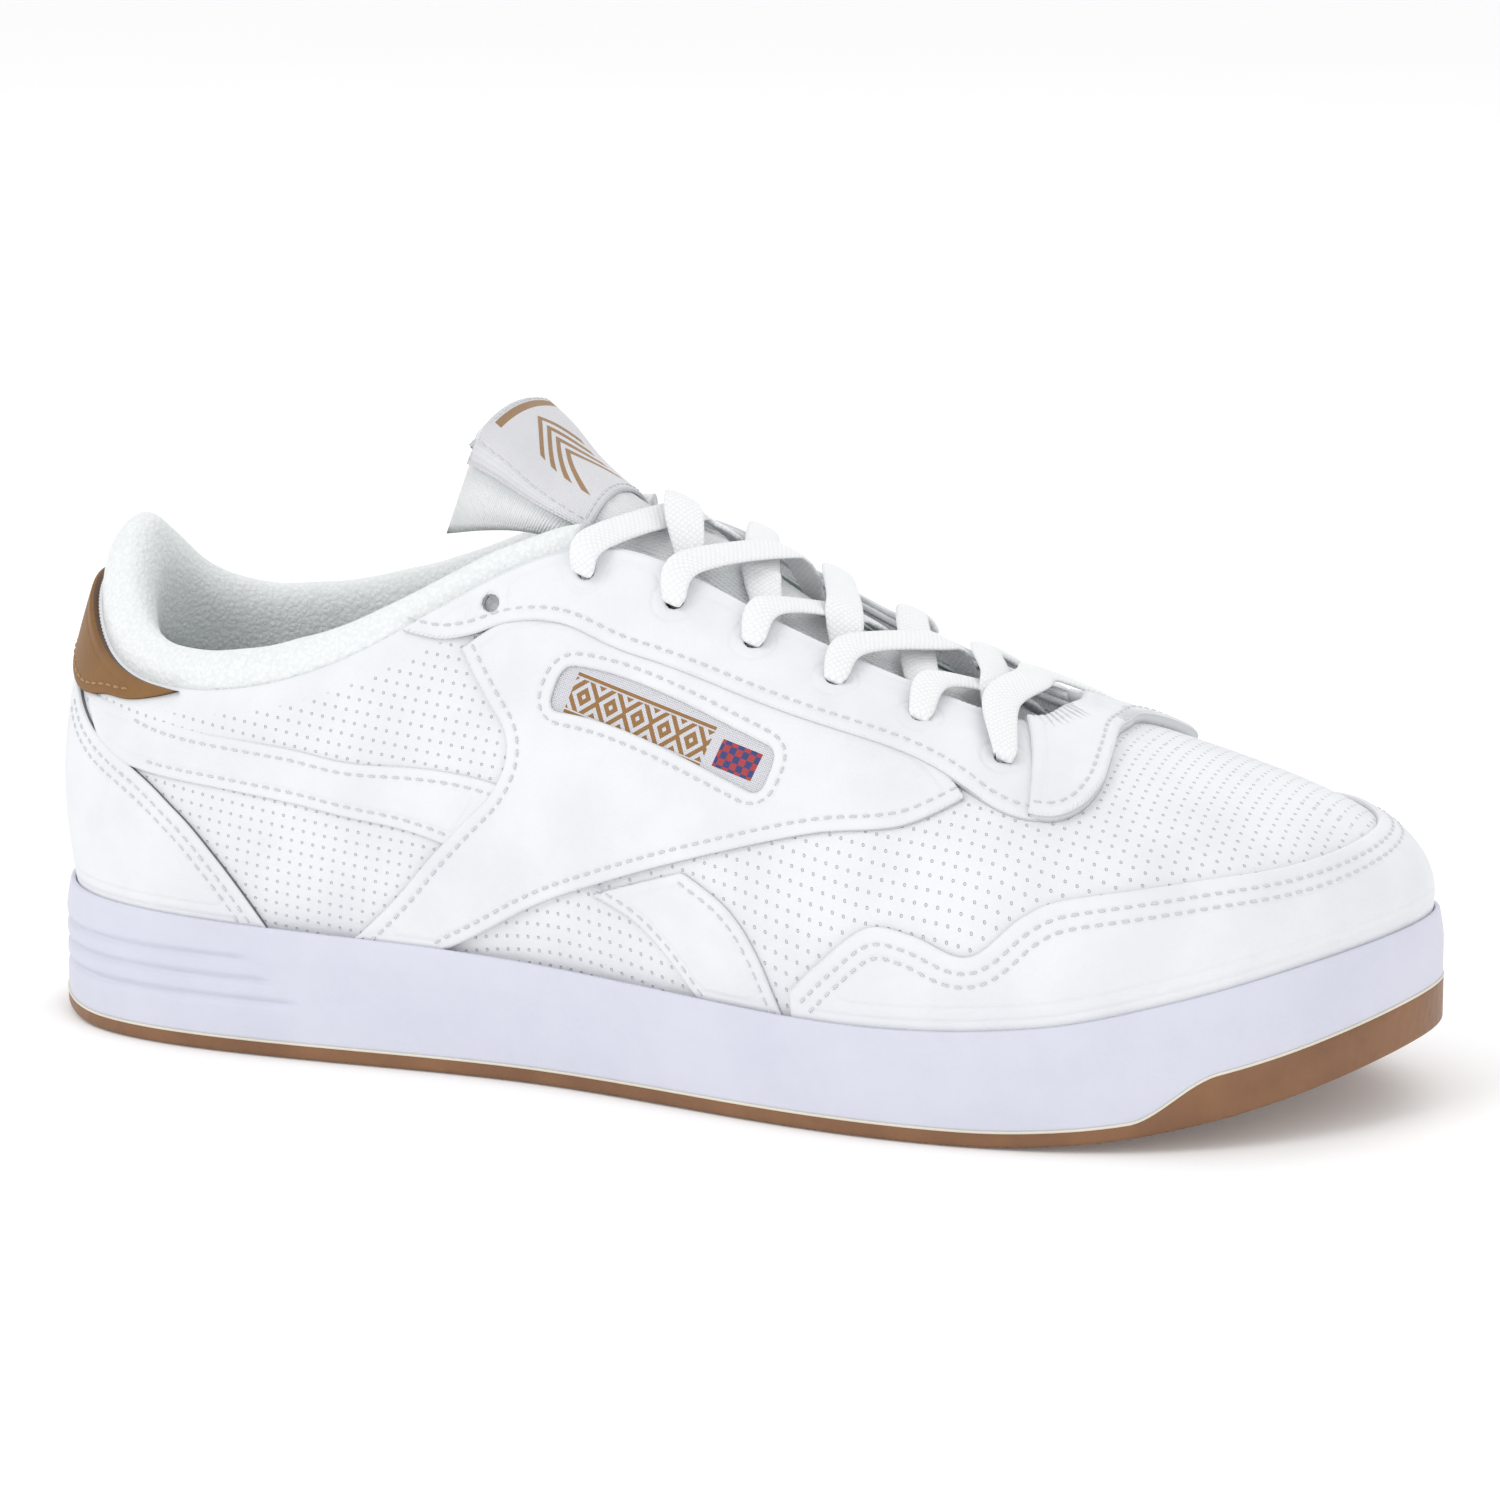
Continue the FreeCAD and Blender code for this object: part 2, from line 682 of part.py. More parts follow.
def tongue_label():
    grids = []
    for depth in (-1.0, -0.1):
        grids.append([[tongue_point(0.99 - 0.25 * i / 12, -0.92 + 1.84 * j / 8, depth) for j in range(9)]
                      for i in range(13)])
    return sheet_solid(*grids)


# ---------------------------------------------------------------- lace

UNDER = LINING_IN - MOVING_GAP - LACE_THICK / 2
BUNCHED = 3.0
LACE_ROWS = 4
BAR_LEVEL = 7.4
EDGE_LEVEL = 1.9
CROSSING_LEVELS = (2.1, 5.0)
DIVE_LEVELS = (2.0, 5.3)
THROAT_DIRECTION = (0.92, 0.0, -0.39)


def eyelet(index, side, offset):
    u, v = EYELETS[index]
    return skin(u if side < 0 else TURN - u, v, offset)


def throat(u, side, offset, lift=0.0):
    x, y, z = skin(u if side < 0 else TURN - u, 1.0, offset)
    return [x, y, z + lift]


def over_tongue(u, share, level):
    """Point above the tongue abreast of the throat edge at u; share runs from -1 to 1 across it."""
    x = last(u, 1.0)[0]
    low, high = 0.0, 1.0
    for _ in range(30):
        place = (low + high) / 2
        if tongue_row(place)[0] > x:
            low = place
        else:
            high = place
    return tongue_point(low, share, -level)


def half_lace(side):
    """Middle line and width of one half, from the bottom bar up to its hidden end."""
    last_eyelet = len(EYELETS) - 1
    bar = EYELETS[last_eyelet][0]
    line = [(over_tongue(bar, 0.0, BAR_LEVEL), LACE_WIDTH), (throat(bar, side, 2.2, 1.8), LACE_WIDTH)]
    for index in range(last_eyelet, 0, -1):
        line.append((eyelet(index, side, 3.2), BUNCHED + 2.0))
        line.append((eyelet(index, side, 0.6), BUNCHED))
        line.append((eyelet(index, side, -2.2), BUNCHED))
        line.append((eyelet(index, side, UNDER - 0.3), BUNCHED))
        if index == 1:
            break
        u = EYELETS[index][0]
        ahead = EYELETS[index - 1][0] - u
        line.append((throat(u + 0.02 * ahead, side, UNDER - 0.1), BUNCHED))
        line.append((over_tongue(u + 0.10 * ahead, side * 0.84, EDGE_LEVEL), BUNCHED + 2.5))
        order = 0 if side * (-1) ** index > 0 else 1
        line.append((over_tongue(u + 0.33 * ahead, side * 0.42, DIVE_LEVELS[order]), LACE_WIDTH))
        line.append((over_tongue(u + 0.50 * ahead, 0.0, CROSSING_LEVELS[order]), LACE_WIDTH))
        line.append((throat(u + 0.93 * ahead, -side, 2.2, 1.2), LACE_WIDTH - 1))
        side = -side
    u, v = EYELETS[1]
    for drop in (0.06, 0.12):
        end = u + 0.10 + drop
        line.append((skin(end if side < 0 else TURN - end, v - drop, UNDER - 0.9), BUNCHED))
    return line, side


def lace_frame(line, t):
    """Place, across direction and face direction of the ribbon at t along its line."""
    points = [p for p, _ in line]
    here = along(points, t)
    ahead = along(points, min(t + 0.002, 1.0))
    behind = along(points, max(t - 0.002, 0.0))
    run = unit([a - b for a, b in zip(ahead, behind)])
    dot = sum(a * b for a, b in zip(run, THROAT_DIRECTION))
    across = unit([a - dot * b for a, b in zip(THROAT_DIRECTION, run)])
    return here, across, cross(run, across)


def lace_line():
    """The whole lace from one hidden end to the other."""
    first, _ = half_lace(-1)
    second, _ = half_lace(1)
    return first[::-1] + second[1:]


def shoelace():
    line = lace_line()
    widths = [[w] for _, w in line]
    rows = LACE_ROWS * (len(line) - 1)
    grids = [[], []]
    for i in range(rows + 1):
        t = i / rows
        here, across, face = lace_frame(line, t)
        width = along(widths, t)[0]
        for grid, lift in zip(grids, (LACE_THICK / 2, -LACE_THICK / 2)):
            grid.append([[p + a * width * s + f * lift for p, a, f in zip(here, across, face)]
                         for s in (-0.5, 0.0, 0.5)])
    return sheet_solid(*grids)


def aglets():
    tubes = []
    for side in (-1, 1):
        line, side_at_end = half_lace(side)
        start = line[-1][0]
        u, v = EYELETS[1]
        far = skin(u + 0.24 if side_at_end < 0 else TURN - u - 0.24, v - 0.42, UNDER - 1.4)
        axis = unit([b - a for a, b in zip(start, far)])
        start = [p + a * 0.4 for p, a in zip(start, axis)]
        tubes.append(Part.makeCylinder(LACE_THICK + 0.2, AGLET_LENGTH, FreeCAD.Vector(*start),
                                       FreeCAD.Vector(*axis)))
    return join(tubes)


def punches():
    """Tools that cut the eyelet holes through every layer."""
    tools = []
    for index in range(len(EYELETS)):
        for side in (-1, 1):
            outside = eyelet(index, side, 4.0)
            axis = [b - a for a, b in zip(outside, eyelet(index, side, -11.0))]
            length = 10.0 if index else 15.0
            tools.append(Part.makeCylinder(EYELET_RADIUS, length, FreeCAD.Vector(*outside), FreeCAD.Vector(*axis)))
    return tools


# ---------------------------------------------------------------- assembly

def build():
    parts = {
        "outsole": outsole(),
        "cupsole": cupsole(),
        "midsole_foam": midsole_foam(),
        "strobel_board": strobel_board(),
        "sockliner_foam": sockliner_foam(),
        "sockliner_cloth": sockliner_cloth(),
        "vamp": vamp(),
        "vamp_padding": vamp_padding(),
        "vamp_lining": vamp_lining(),
        "toe_puff": toe_puff(),
        "mudguard": mudguard(),
        "heel_counter": heel_counter(),
        "heel_overlay": heel_overlay(),
        "heel_tab": heel_tab(),
        "side_label": side_label(),
        "front_stay": front_stay(),
        "collar_foam": collar_foam(),
        "collar_lining": collar_lining(),
        "tongue_face": tongue_face(),
        "tongue_foam": tongue_foam(),
        "tongue_lining": tongue_lining(),
        "tongue_label": tongue_label(),
        "shoelace": shoelace(),
        "aglets": aglets(),
    }
    for name, side in (("lateral", -1), ("medial", 1)):
        parts["quarter_" + name] = quarter(side)
        parts["quarter_padding_" + name] = quarter_padding(side)
        parts["quarter_lining_" + name] = quarter_lining(side)
        parts["eyelet_tape_" + name] = eyelet_tape(side)
        parts["eyestay_" + name] = eyestay(side)
        parts["saddle_" + name] = saddle(side)
        parts["rear_band_" + name] = band(side)
        parts["forefoot_support_" + name] = forefoot_support(side)
    tools = punches()
    for name in ("vamp", "vamp_lining", "collar_foam", "collar_lining", "quarter_lateral", "quarter_medial",
                 "eyelet_tape_lateral", "eyelet_tape_medial", "eyestay_lateral", "eyestay_medial"):
        parts[name] = parts[name].cut(tools)
    return parts


os.makedirs("parts", exist_ok=True)
for node, shape in build().items():
    shape.exportStep("parts/" + node + ".step")
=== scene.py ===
import bpy
import bmesh
import math
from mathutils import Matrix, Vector, noise
from mathutils.geometry import delaunay_2d_cdt
from mathutils.kdtree import KDTree


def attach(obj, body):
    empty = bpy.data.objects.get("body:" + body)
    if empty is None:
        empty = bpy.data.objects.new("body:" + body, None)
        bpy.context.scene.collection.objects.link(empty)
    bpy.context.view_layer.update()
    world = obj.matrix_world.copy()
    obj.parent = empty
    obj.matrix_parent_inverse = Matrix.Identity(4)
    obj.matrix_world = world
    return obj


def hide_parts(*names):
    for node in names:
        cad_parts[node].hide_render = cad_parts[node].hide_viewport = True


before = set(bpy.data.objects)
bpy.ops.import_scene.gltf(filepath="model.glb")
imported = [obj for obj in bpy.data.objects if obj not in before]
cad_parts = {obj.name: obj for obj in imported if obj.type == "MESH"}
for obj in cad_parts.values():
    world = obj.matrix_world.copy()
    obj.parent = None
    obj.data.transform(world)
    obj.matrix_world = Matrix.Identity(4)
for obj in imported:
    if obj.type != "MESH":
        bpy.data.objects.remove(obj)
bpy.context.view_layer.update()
MM = 0.001

# Right court shoe: +X runs to the toe, -Y is the outer (lateral) side, +Z is up.
# Lengths are in millimetres until a mesh is made.  A place on the upper is (u, v): u counts
# stations round the shoe from the heel, v runs from the feather line at 0 to the top line at 1.

# feather x, y; top line x, y, z; outward lean, rise of the wall, crown reach and crown drop
STATIONS = [
    (-144, 0, -139, 0, 93, 4, 0.40, 7, 22),
    (-133, -26, -129, -22, 80, 4, 0.40, 7, 18),
    (-104, -37, -103, -34, 75, 4, 0.40, 5, 16),
    (-65, -38, -66, -33, 86, 5, 0.40, 7, 20),
    (-25, -39, -23, -24, 108, 6, 0.40, 9, 28),
    (15, -47, 14, -20, 97, 6, 0.40, 15, 14),
    (52, -53, 47, -17, 83, 5, 0.45, 22, 7),
    (90, -50, 69, -13, 76, 4, 0.50, 28, 8),
    (124, -32, 74, -7, 77, 3, 0.50, 36, 12),
    (146, 6, 75, 0, 77, 3, 0.50, 46, 14),
    (132, 34, 74, 7, 77, 3, 0.50, 38, 12),
    (100, 47, 69, 13, 76, 4, 0.50, 28, 8),
    (62, 48, 47, 17, 83, 5, 0.45, 20, 7),
    (22, 40, 14, 20, 97, 6, 0.40, 13, 14),
    (-20, 33, -23, 24, 108, 7, 0.40, 9, 28),
    (-62, 33, -66, 33, 90, 6, 0.40, 6, 20),
    (-103, 35, -103, 34, 80, 4, 0.40, 5, 16),
    (-133, 25, -129, 22, 83, 4, 0.40, 7, 18),
]
TURN = len(STATIONS)
CROWN_BLEND = 25.0
FEATHER_LINE = [(-150, 29), (-100, 27.5), (-50, 26), (0, 23.5), (50, 22), (85, 24.5),
                (110, 30), (130, 35), (150, 39.5)]
GROUND_LINE = [(-150, 4), (-138, 1), (-126, 0), (60, 0), (80, 0.4), (100, 2.6), (125, 8.2), (150, 16.5)]

LEATHER = 1.4
PADDING = 1.9
LINING = 0.8
GAP = 0.1
MOVING_GAP = 0.4
BACKING = -(LEATHER + GAP)
LINING_OUT = BACKING - PADDING - GAP
LINING_IN = LINING_OUT - LINING


def on_side(side, u):
    """The station on the lateral side, -1, or its mirror image on the medial side, 1."""
    return u if side < 0 else TURN - u


def sided(side, line):
    return line if side < 0 else mirrored(line)


# ---------------------------------------------------------------- curves

def smooth_ring(points):
    """Control points of the closed cubic curve that passes through the given points."""
    ring = [list(p) for p in points]
    for _ in range(60):
        for k, point in enumerate(points):
            before = ring[k - 1]
            after = ring[(k + 1) % len(ring)]
            ring[k] = [(6 * p - a - b) / 4 for p, a, b in zip(point, before, after)]
    return ring


def on_ring(ring, t):
    first = math.floor(t)
    f = t - first
    weights = ((1 - f) ** 3 / 6, (3 * f ** 3 - 6 * f ** 2 + 4) / 6,
               (-3 * f ** 3 + 3 * f ** 2 + 3 * f + 1) / 6, f ** 3 / 6)
    near = [ring[(first - 1 + k) % len(ring)] for k in range(4)]
    return [sum(w * p[axis] for w, p in zip(weights, near)) for axis in range(len(ring[0]))]


def along(points, t):
    """Smooth open curve through the points, with t from 0 to 1."""
    spans = len(points) - 1
    place = min(max(t, 0.0), 1.0) * spans
    k = min(int(place), spans - 1)
    f = place - k
    p0 = points[max(k - 1, 0)]
    p1 = points[k]
    p2 = points[k + 1]
    p3 = points[min(k + 2, spans)]
    return [0.5 * (2 * b + (c - a) * f + (2 * a - 5 * b + 4 * c - d) * f ** 2
                   + (3 * b - a - 3 * c + d) * f ** 3) for a, b, c, d in zip(p0, p1, p2, p3)]


def height(line, x):
    """Height of a profile line at x, smooth between its points."""
    if x <= line[0][0]:
        return line[0][1]
    if x >= line[-1][0]:
        return line[-1][1]
    k = 0
    while line[k + 1][0] < x:
        k += 1
    slopes = []
    for j in (k, k + 1):
        a = line[max(j - 1, 0)]
        b = line[min(j + 1, len(line) - 1)]
        slopes.append((b[1] - a[1]) / (b[0] - a[0]))
    step = line[k + 1][0] - line[k][0]
    t = (x - line[k][0]) / step
    return ((2 * t ** 3 - 3 * t ** 2 + 1) * line[k][1] + (t ** 3 - 2 * t ** 2 + t) * slopes[0] * step
            + (3 * t ** 2 - 2 * t ** 3) * line[k + 1][1] + (t ** 3 - t ** 2) * slopes[1] * step)


def mix(a, b, t):
    return [p + (q - p) * t for p, q in zip(a, b)]


def smoothstep(t):
    t = min(max(t, 0.0), 1.0)
    return t * t * (3 - 2 * t)


# ---------------------------------------------------------------- the last

STEPS = 100
RAILS = smooth_ring(STATIONS)


def outward(u):
    step = 0.01
    a = on_ring(RAILS, u - step)
    b = on_ring(RAILS, u + step)
    return Vector((b[1] - a[1], a[0] - b[0], 0.0)).normalized()


def wall_controls(u):
    """The four control points of the wall's curve at u, and the level direction away from it."""
    fx, fy, tx, ty, tz, lean, rise, reach, drop = on_ring(RAILS, u)
    fz = height(FEATHER_LINE, fx)
    n = outward(u)
    run = math.hypot(fx - tx, fy - ty)
    share = min(1.0, run / CROWN_BLEND)
    toward = Vector(((fx - tx) / run, (fy - ty) / run, 0.0))
    crown = (toward * share + n * (1 - share)).normalized()
    p0 = Vector((fx, fy, fz))
    p3 = Vector((tx, ty, tz))
    p1 = p0 + n * lean + Vector((0, 0, rise * (tz - fz)))
    p2 = p3 + crown * reach - Vector((0, 0, drop))
    return [p0, p1, p2, p3, n]


SAMPLES = [wall_controls(k / STEPS) for k in range(TURN * STEPS)]
SLOPES = [[(b - a) * (STEPS / 2) for a, b in zip(SAMPLES[k - 1], SAMPLES[(k + 1) % len(SAMPLES)])]
          for k in range(len(SAMPLES))]


def wall(table, u):
    place = (u % TURN) * STEPS
    k = int(place) % len(table)
    f = place - int(place)
    return [a.lerp(b, f) for a, b in zip(table[k], table[(k + 1) % len(table)])]


def skin_frame(u, v):
    """Place, outward normal and the two tangents of the base leather."""
    p0, p1, p2, p3, n = wall(SAMPLES, u)
    d0, d1, d2, d3, _ = wall(SLOPES, u)
    if v < 0:
        along_v = Vector((0, 0, 100.0))
        return p0 + along_v * v, n.normalized(), d0, along_v
    w = 1 - v
    place = p0 * w ** 3 + p1 * (3 * v * w * w) + p2 * (3 * v * v * w) + p3 * v ** 3
    along_u = d0 * w ** 3 + d1 * (3 * v * w * w) + d2 * (3 * v * v * w) + d3 * v ** 3
    along_v = (p1 - p0) * (3 * w * w) + (p2 - p1) * (6 * v * w) + (p3 - p2) * (3 * v * v)
    return place, along_u.cross(along_v).normalized(), along_u, along_v


def skin(u, v, offset):
    place, n, _, _ = skin_frame(u, v)
    return place + n * offset


def feather(u, offset=0.0):
    p0, _, _, _, n = wall(SAMPLES, u)
    n = n.normalized()
    return Vector((p0.x + n.x * offset, p0.y + n.y * offset, 0.0))


def ground(x):
    return max(0.0, height(GROUND_LINE, x))


def lip(x):
    return height(FEATHER_LINE, x)


# ---------------------------------------------------------------- seams, as (u, v) points

MUDGUARD_TOP = [(5.50, 0.06), (5.68, 0.14), (5.95, 0.24), (6.20, 0.235), (6.50, 0.19), (6.78, 0.30),
                (7.05, 0.35), (7.70, 0.355), (8.30, 0.34), (9.00, 0.38), (9.70, 0.42), (10.30, 0.40),
                (10.95, 0.35), (11.22, 0.30), (11.50, 0.19), (11.80, 0.235), (12.05, 0.24),
                (12.32, 0.14), (12.50, 0.06)]
COUNTER_FRONT = [(2.47, -0.01), (2.20, 0.25), (1.93, 0.45), (1.53, 0.62), (0.75, 0.74)]
TAB_LOW = [(1.86, 0.985), (1.45, 0.90), (1.18, 0.86), (0.76, 0.765), (0.0, 0.75),
           (-0.76, 0.765), (-1.18, 0.86), (-1.45, 0.90), (-1.86, 0.985)]
BAND_TOP = [(1.52, 0.87), (2.18, 0.80), (2.60, 0.72), (2.95, 0.61), (3.30, 0.53), (3.78, 0.42)]
BAND_LOW = [(1.66, 0.61), (2.18, 0.57), (2.60, 0.50), (2.95, 0.41), (3.25, 0.34), (3.55, 0.26)]
SADDLE_REAR = [(3.50, 0.84), (3.58, 0.75), (3.68, 0.65), (3.78, 0.56), (3.80, 0.48), (3.73, 0.40),
               (3.58, 0.33), (3.40, 0.24), (3.23, 0.14), (2.95, -0.01)]
SADDLE_FRONT = [(6.45, 0.63), (6.10, 0.51), (5.60, 0.44), (5.00, 0.33), (4.40, 0.21), (4.00, 0.13),
                (3.70, 0.055), (3.44, -0.01)]
SADDLE_TOP = [(3.50, 0.84), (3.73, 0.87), (4.00, 0.85), (4.30, 0.80), (4.60, 0.78), (5.28, 0.76),
              (5.93, 0.76), (6.25, 0.72), (6.45, 0.63)]
STAY_EDGE = [(3.20, 0.985), (3.28, 0.945), (3.40, 0.895), (3.55, 0.865), (3.73, 0.855), (4.00, 0.815),
             (4.30, 0.755), (4.60, 0.735), (5.28, 0.715), (5.93, 0.715), (6.23, 0.695), (6.45, 0.655),
             (6.68, 0.610), (6.88, 0.597), (7.10, 0.62)]
FRONT_STAY_EDGE = [(6.84, 0.600), (7.02, 0.60), (7.23, 0.64), (7.45, 0.71), (7.80, 0.81), (8.35, 0.89),
                   (9.00, 0.91), (9.65, 0.89), (10.20, 0.81), (10.55, 0.71), (10.77, 0.64),
                   (10.98, 0.60), (11.16, 0.600)]
WINDOW = [(3.99, 0.600), (5.27, 0.490), (5.33, 0.615), (4.04, 0.712)]
SUPPORT_REAR = [(4.32, 0.175), (4.56, 0.14), (4.75, 0.08), (4.93, -0.01)]
SUPPORT_FRONT = [(4.85, 0.275), (5.12, 0.22), (5.30, 0.13), (5.44, -0.01)]
EYELETS = [(3.62, .930), (4.08, .940), (4.58, .905), (5.05, .885), (5.55, .870), (6.10, .850), (6.70, .800)]
EYELET_RADIUS = 1.9


def mirrored(line):
    return [(TURN - u, v) for u, v in line]


def level_line(v, start, length, count):
    """Even points at one height round the shoe."""
    return [(start + length * k / count, v) for k in range(count + 1)]


def smooth(line, pieces=12):
    """The seam as a fine polyline."""
    count = pieces * (len(line) - 1)
    return [along(line, k / count) for k in range(count + 1)]


def resample(line, spacing, closed=False, offset=0.0):
    """The (u, v) polyline with points evenly spaced on the leather."""
    line = [tuple(p) for p in line]
    if closed:
        line = line + [line[0]]
    places = [skin(u, v, offset) for u, v in line]
    run = [0.0]
    for a, b in zip(places, places[1:]):
        run.append(run[-1] + (b - a).length)
    count = max(2, round(run[-1] / spacing))
    made = []
    k = 0
    for i in range(count if closed else count + 1):
        want = run[-1] * i / count
        while k < len(run) - 2 and run[k + 1] < want:
            k += 1
        step = max(run[k + 1] - run[k], 1e-9)
        made.append(tuple(mix(line[k], line[k + 1], (want - run[k]) / step)))
    return made


def step_on_skin(way, pu, pv, distance=1.0):
    """Steps in u and v that go a distance along a direction on the leather."""
    uu, uv, vv = pu.dot(pu), pu.dot(pv), pv.dot(pv)
    det = uu * vv - uv * uv
    wu, wv = way.dot(pu), way.dot(pv)
    return distance * (wu * vv - wv * uv) / det, distance * (wv * uu - wu * uv) / det


def inset(line, distance, closed=False):
    """The line moved to its left on the leather by a distance in millimetres."""
    made = []
    count = len(line)
    for k, (u, v) in enumerate(line):
        a = line[(k - 1) % count] if closed else line[max(k - 1, 0)]
        b = line[(k + 1) % count] if closed else line[min(k + 1, count - 1)]
        _, n, pu, pv = skin_frame(u, v)
        run = pu * (b[0] - a[0]) + pv * (b[1] - a[1])
        if run.length < 1e-9:
            continue
        du, dv = step_on_skin(n.cross(run.normalized()), pu, pv, distance)
        made.append((u + du, v + dv))
    return made


# ---------------------------------------------------------------- meshes

def finish_piece(obj, body, slot, *nodes, material=None):
    if material is not None:
        obj.data.materials.append(material)
    for face in obj.data.polygons:
        face.use_smooth = True
    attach(obj, body)
    if nodes:
        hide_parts(*nodes)
    return obj


def new_object(name, points, faces, attributes=None, uv=None):
    mesh = bpy.data.meshes.new(name)
    mesh.from_pydata([Vector(p) * MM for p in points], [], faces)
    for key, values in (attributes or {}).items():
        mesh.attributes.new(key, "FLOAT", "POINT").data.foreach_set("value", values)
    if uv:
        layer = mesh.uv_layers.new(name="Cut")
        for loop in mesh.loops:
            layer.data[loop.index].uv = uv[loop.vertex_index]
    mesh.validate()
    mesh.update()
    obj = bpy.data.objects.new(name, mesh)
    bpy.context.scene.collection.objects.link(obj)
    return obj


def grid_faces(rows, columns, close_rows=False, close_columns=False, flip=False):
    faces = []
    for i in range(rows if close_rows else rows - 1):
        for j in range(columns if close_columns else columns - 1):
            a = i * columns + j
            b = i * columns + (j + 1) % columns
            c = ((i + 1) % rows) * columns + (j + 1) % columns
            d = ((i + 1) % rows) * columns + j
            faces.append((a, d, c, b) if flip else (a, b, c, d))
    return faces


def closed_sheet(name, points, rows, columns, flip=False, uv=None):
    """Closed sheet from the points of its face and then of its back, each rows by columns cells."""
    wide = columns + 1
    count = (rows + 1) * wide
    face = grid_faces(rows + 1, wide, flip=flip)
    back = [tuple(k + count for k in reversed(f)) for f in face]
    border = list(range(wide)) + [i * wide + columns for i in range(1, rows + 1)]
    border += [rows * wide + j for j in range(columns - 1, -1, -1)]
    border += [i * wide for i in range(rows - 1, 0, -1)]
    edge = [(a, a + count, b + count, b) for a, b in zip(border, border[1:] + border[:1])]
    obj = new_object(name, points, face + back + edge, uv=uv)
    tidy_normals(obj)
    return obj


def closed_tube(name, points, rows, sides, uv):
    """Tube of rows steps round a middle line, with flat ends."""
    faces = grid_faces(rows + 1, sides, close_columns=True)
    faces.append(tuple(range(sides)))
    faces.append(tuple(rows * sides + j for j in reversed(range(sides))))
    obj = new_object(name, points, faces, uv=uv)
    tidy_normals(obj)
    return obj


def area_of(loop):
    return sum(a[0] * b[1] - b[0] * a[1] for a, b in zip(loop, loop[1:] + loop[:1])) / 2


def inside(loop, point):
    found = False
    x, y = point
    for (x1, y1), (x2, y2) in zip(loop, loop[1:] + loop[:1]):
        if (y1 > y) != (y2 > y) and x < x1 + (y - y1) / (y2 - y1) * (x2 - x1):
            found = not found
    return found


# radius of a cut edge, step of an outline and distances of the rings inside it, in millimetres;
# a panel is laid flat with ACROSS to a station and UPWARD to the height of the wall
ROUND = 0.55
OUTLINE_STEP = 1.1
RINGS = (0.16, 0.4, 0.9, 1.7)
ACROSS = 42.0
UPWARD = 62.0


def rounded(distance):
    """How far the face lies below its level, at a distance from the cut edge."""
    if distance >= ROUND:
        return 0.0
    return ROUND - math.sqrt(max(ROUND ** 2 - (ROUND - distance) ** 2, 0.0))


def oriented(line, positive):
    """The outline in even steps, turning the way asked for."""
    line = resample(line, OUTLINE_STEP, closed=True)
    return line if (area_of(line) > 0) == positive else line[::-1]


def in_panel(outlines, point):
    """True inside the first outline and outside the holes."""
    return inside(outlines[0], point) and not any(inside(hole, point) for hole in outlines[1:])


def rim_tree(loops):
    """Finds the distance of a place from the panel's outlines."""
    points = [p for line in loops for p in line]
    tree = KDTree(len(points))
    for k, (u, v) in enumerate(points):
        tree.insert(skin(u, v, 0.0), k)
    tree.balance()
    return tree


def panel_points(loops, outlines, tree, spacing):
    """(u, v) points of a panel: its outlines, rings beside them and a lattice between."""
    def clear(u, v, distance):
        return in_panel(outlines, (u * ACROSS, v * UPWARD)) and tree.find(skin(u, v, 0.0))[2] > distance

    points = [p for line in loops for p in line]
    for line in loops:
        for ring in RINGS:
            points += [p for p in inset(line, ring, closed=True) if clear(*p, ring * 0.8)]
    lows = [min(axis) for axis in zip(*outlines[0])]
    highs = [max(axis) for axis in zip(*outlines[0])]
    for i in range(int((highs[0] - lows[0]) / spacing)):
        for j in range(int((highs[1] - lows[1]) / spacing)):
            u = (lows[0] + (i + 0.5 * (j % 2)) * spacing) / ACROSS
            v = (lows[1] + j * spacing) / UPWARD
            if clear(u, v, RINGS[-1] + 0.6):
                points.append((u, v))
    return points


def panel_faces(loops, points, outlines):
    """Triangles between the points, kept where they lie in the panel."""
    edges = []
    first = 0
    for line in loops:
        edges += [(first + k, first + (k + 1) % len(line)) for k in range(len(line))]
        first += len(line)
    verts, _, faces, _, _, _ = delaunay_2d_cdt([Vector((u * ACROSS, v * UPWARD)) for u, v in points],
                                               edges, [], 1, 1e-6, False)
    middles = [tuple(sum((verts[i] for i in f), Vector((0, 0))) / len(f)) for f in faces]
    faces = [f for f, middle in zip(faces, middles) if in_panel(outlines, middle)]
    return [(p.x / ACROSS, p.y / UPWARD) for p in verts], faces


def panel_border(faces):
    """Edges that only one face has."""
    used = dict.fromkeys(edge for face in faces for edge in zip(face, face[1:] + face[:1]))
    return [(a, b) for a, b in used if (b, a) not in used]


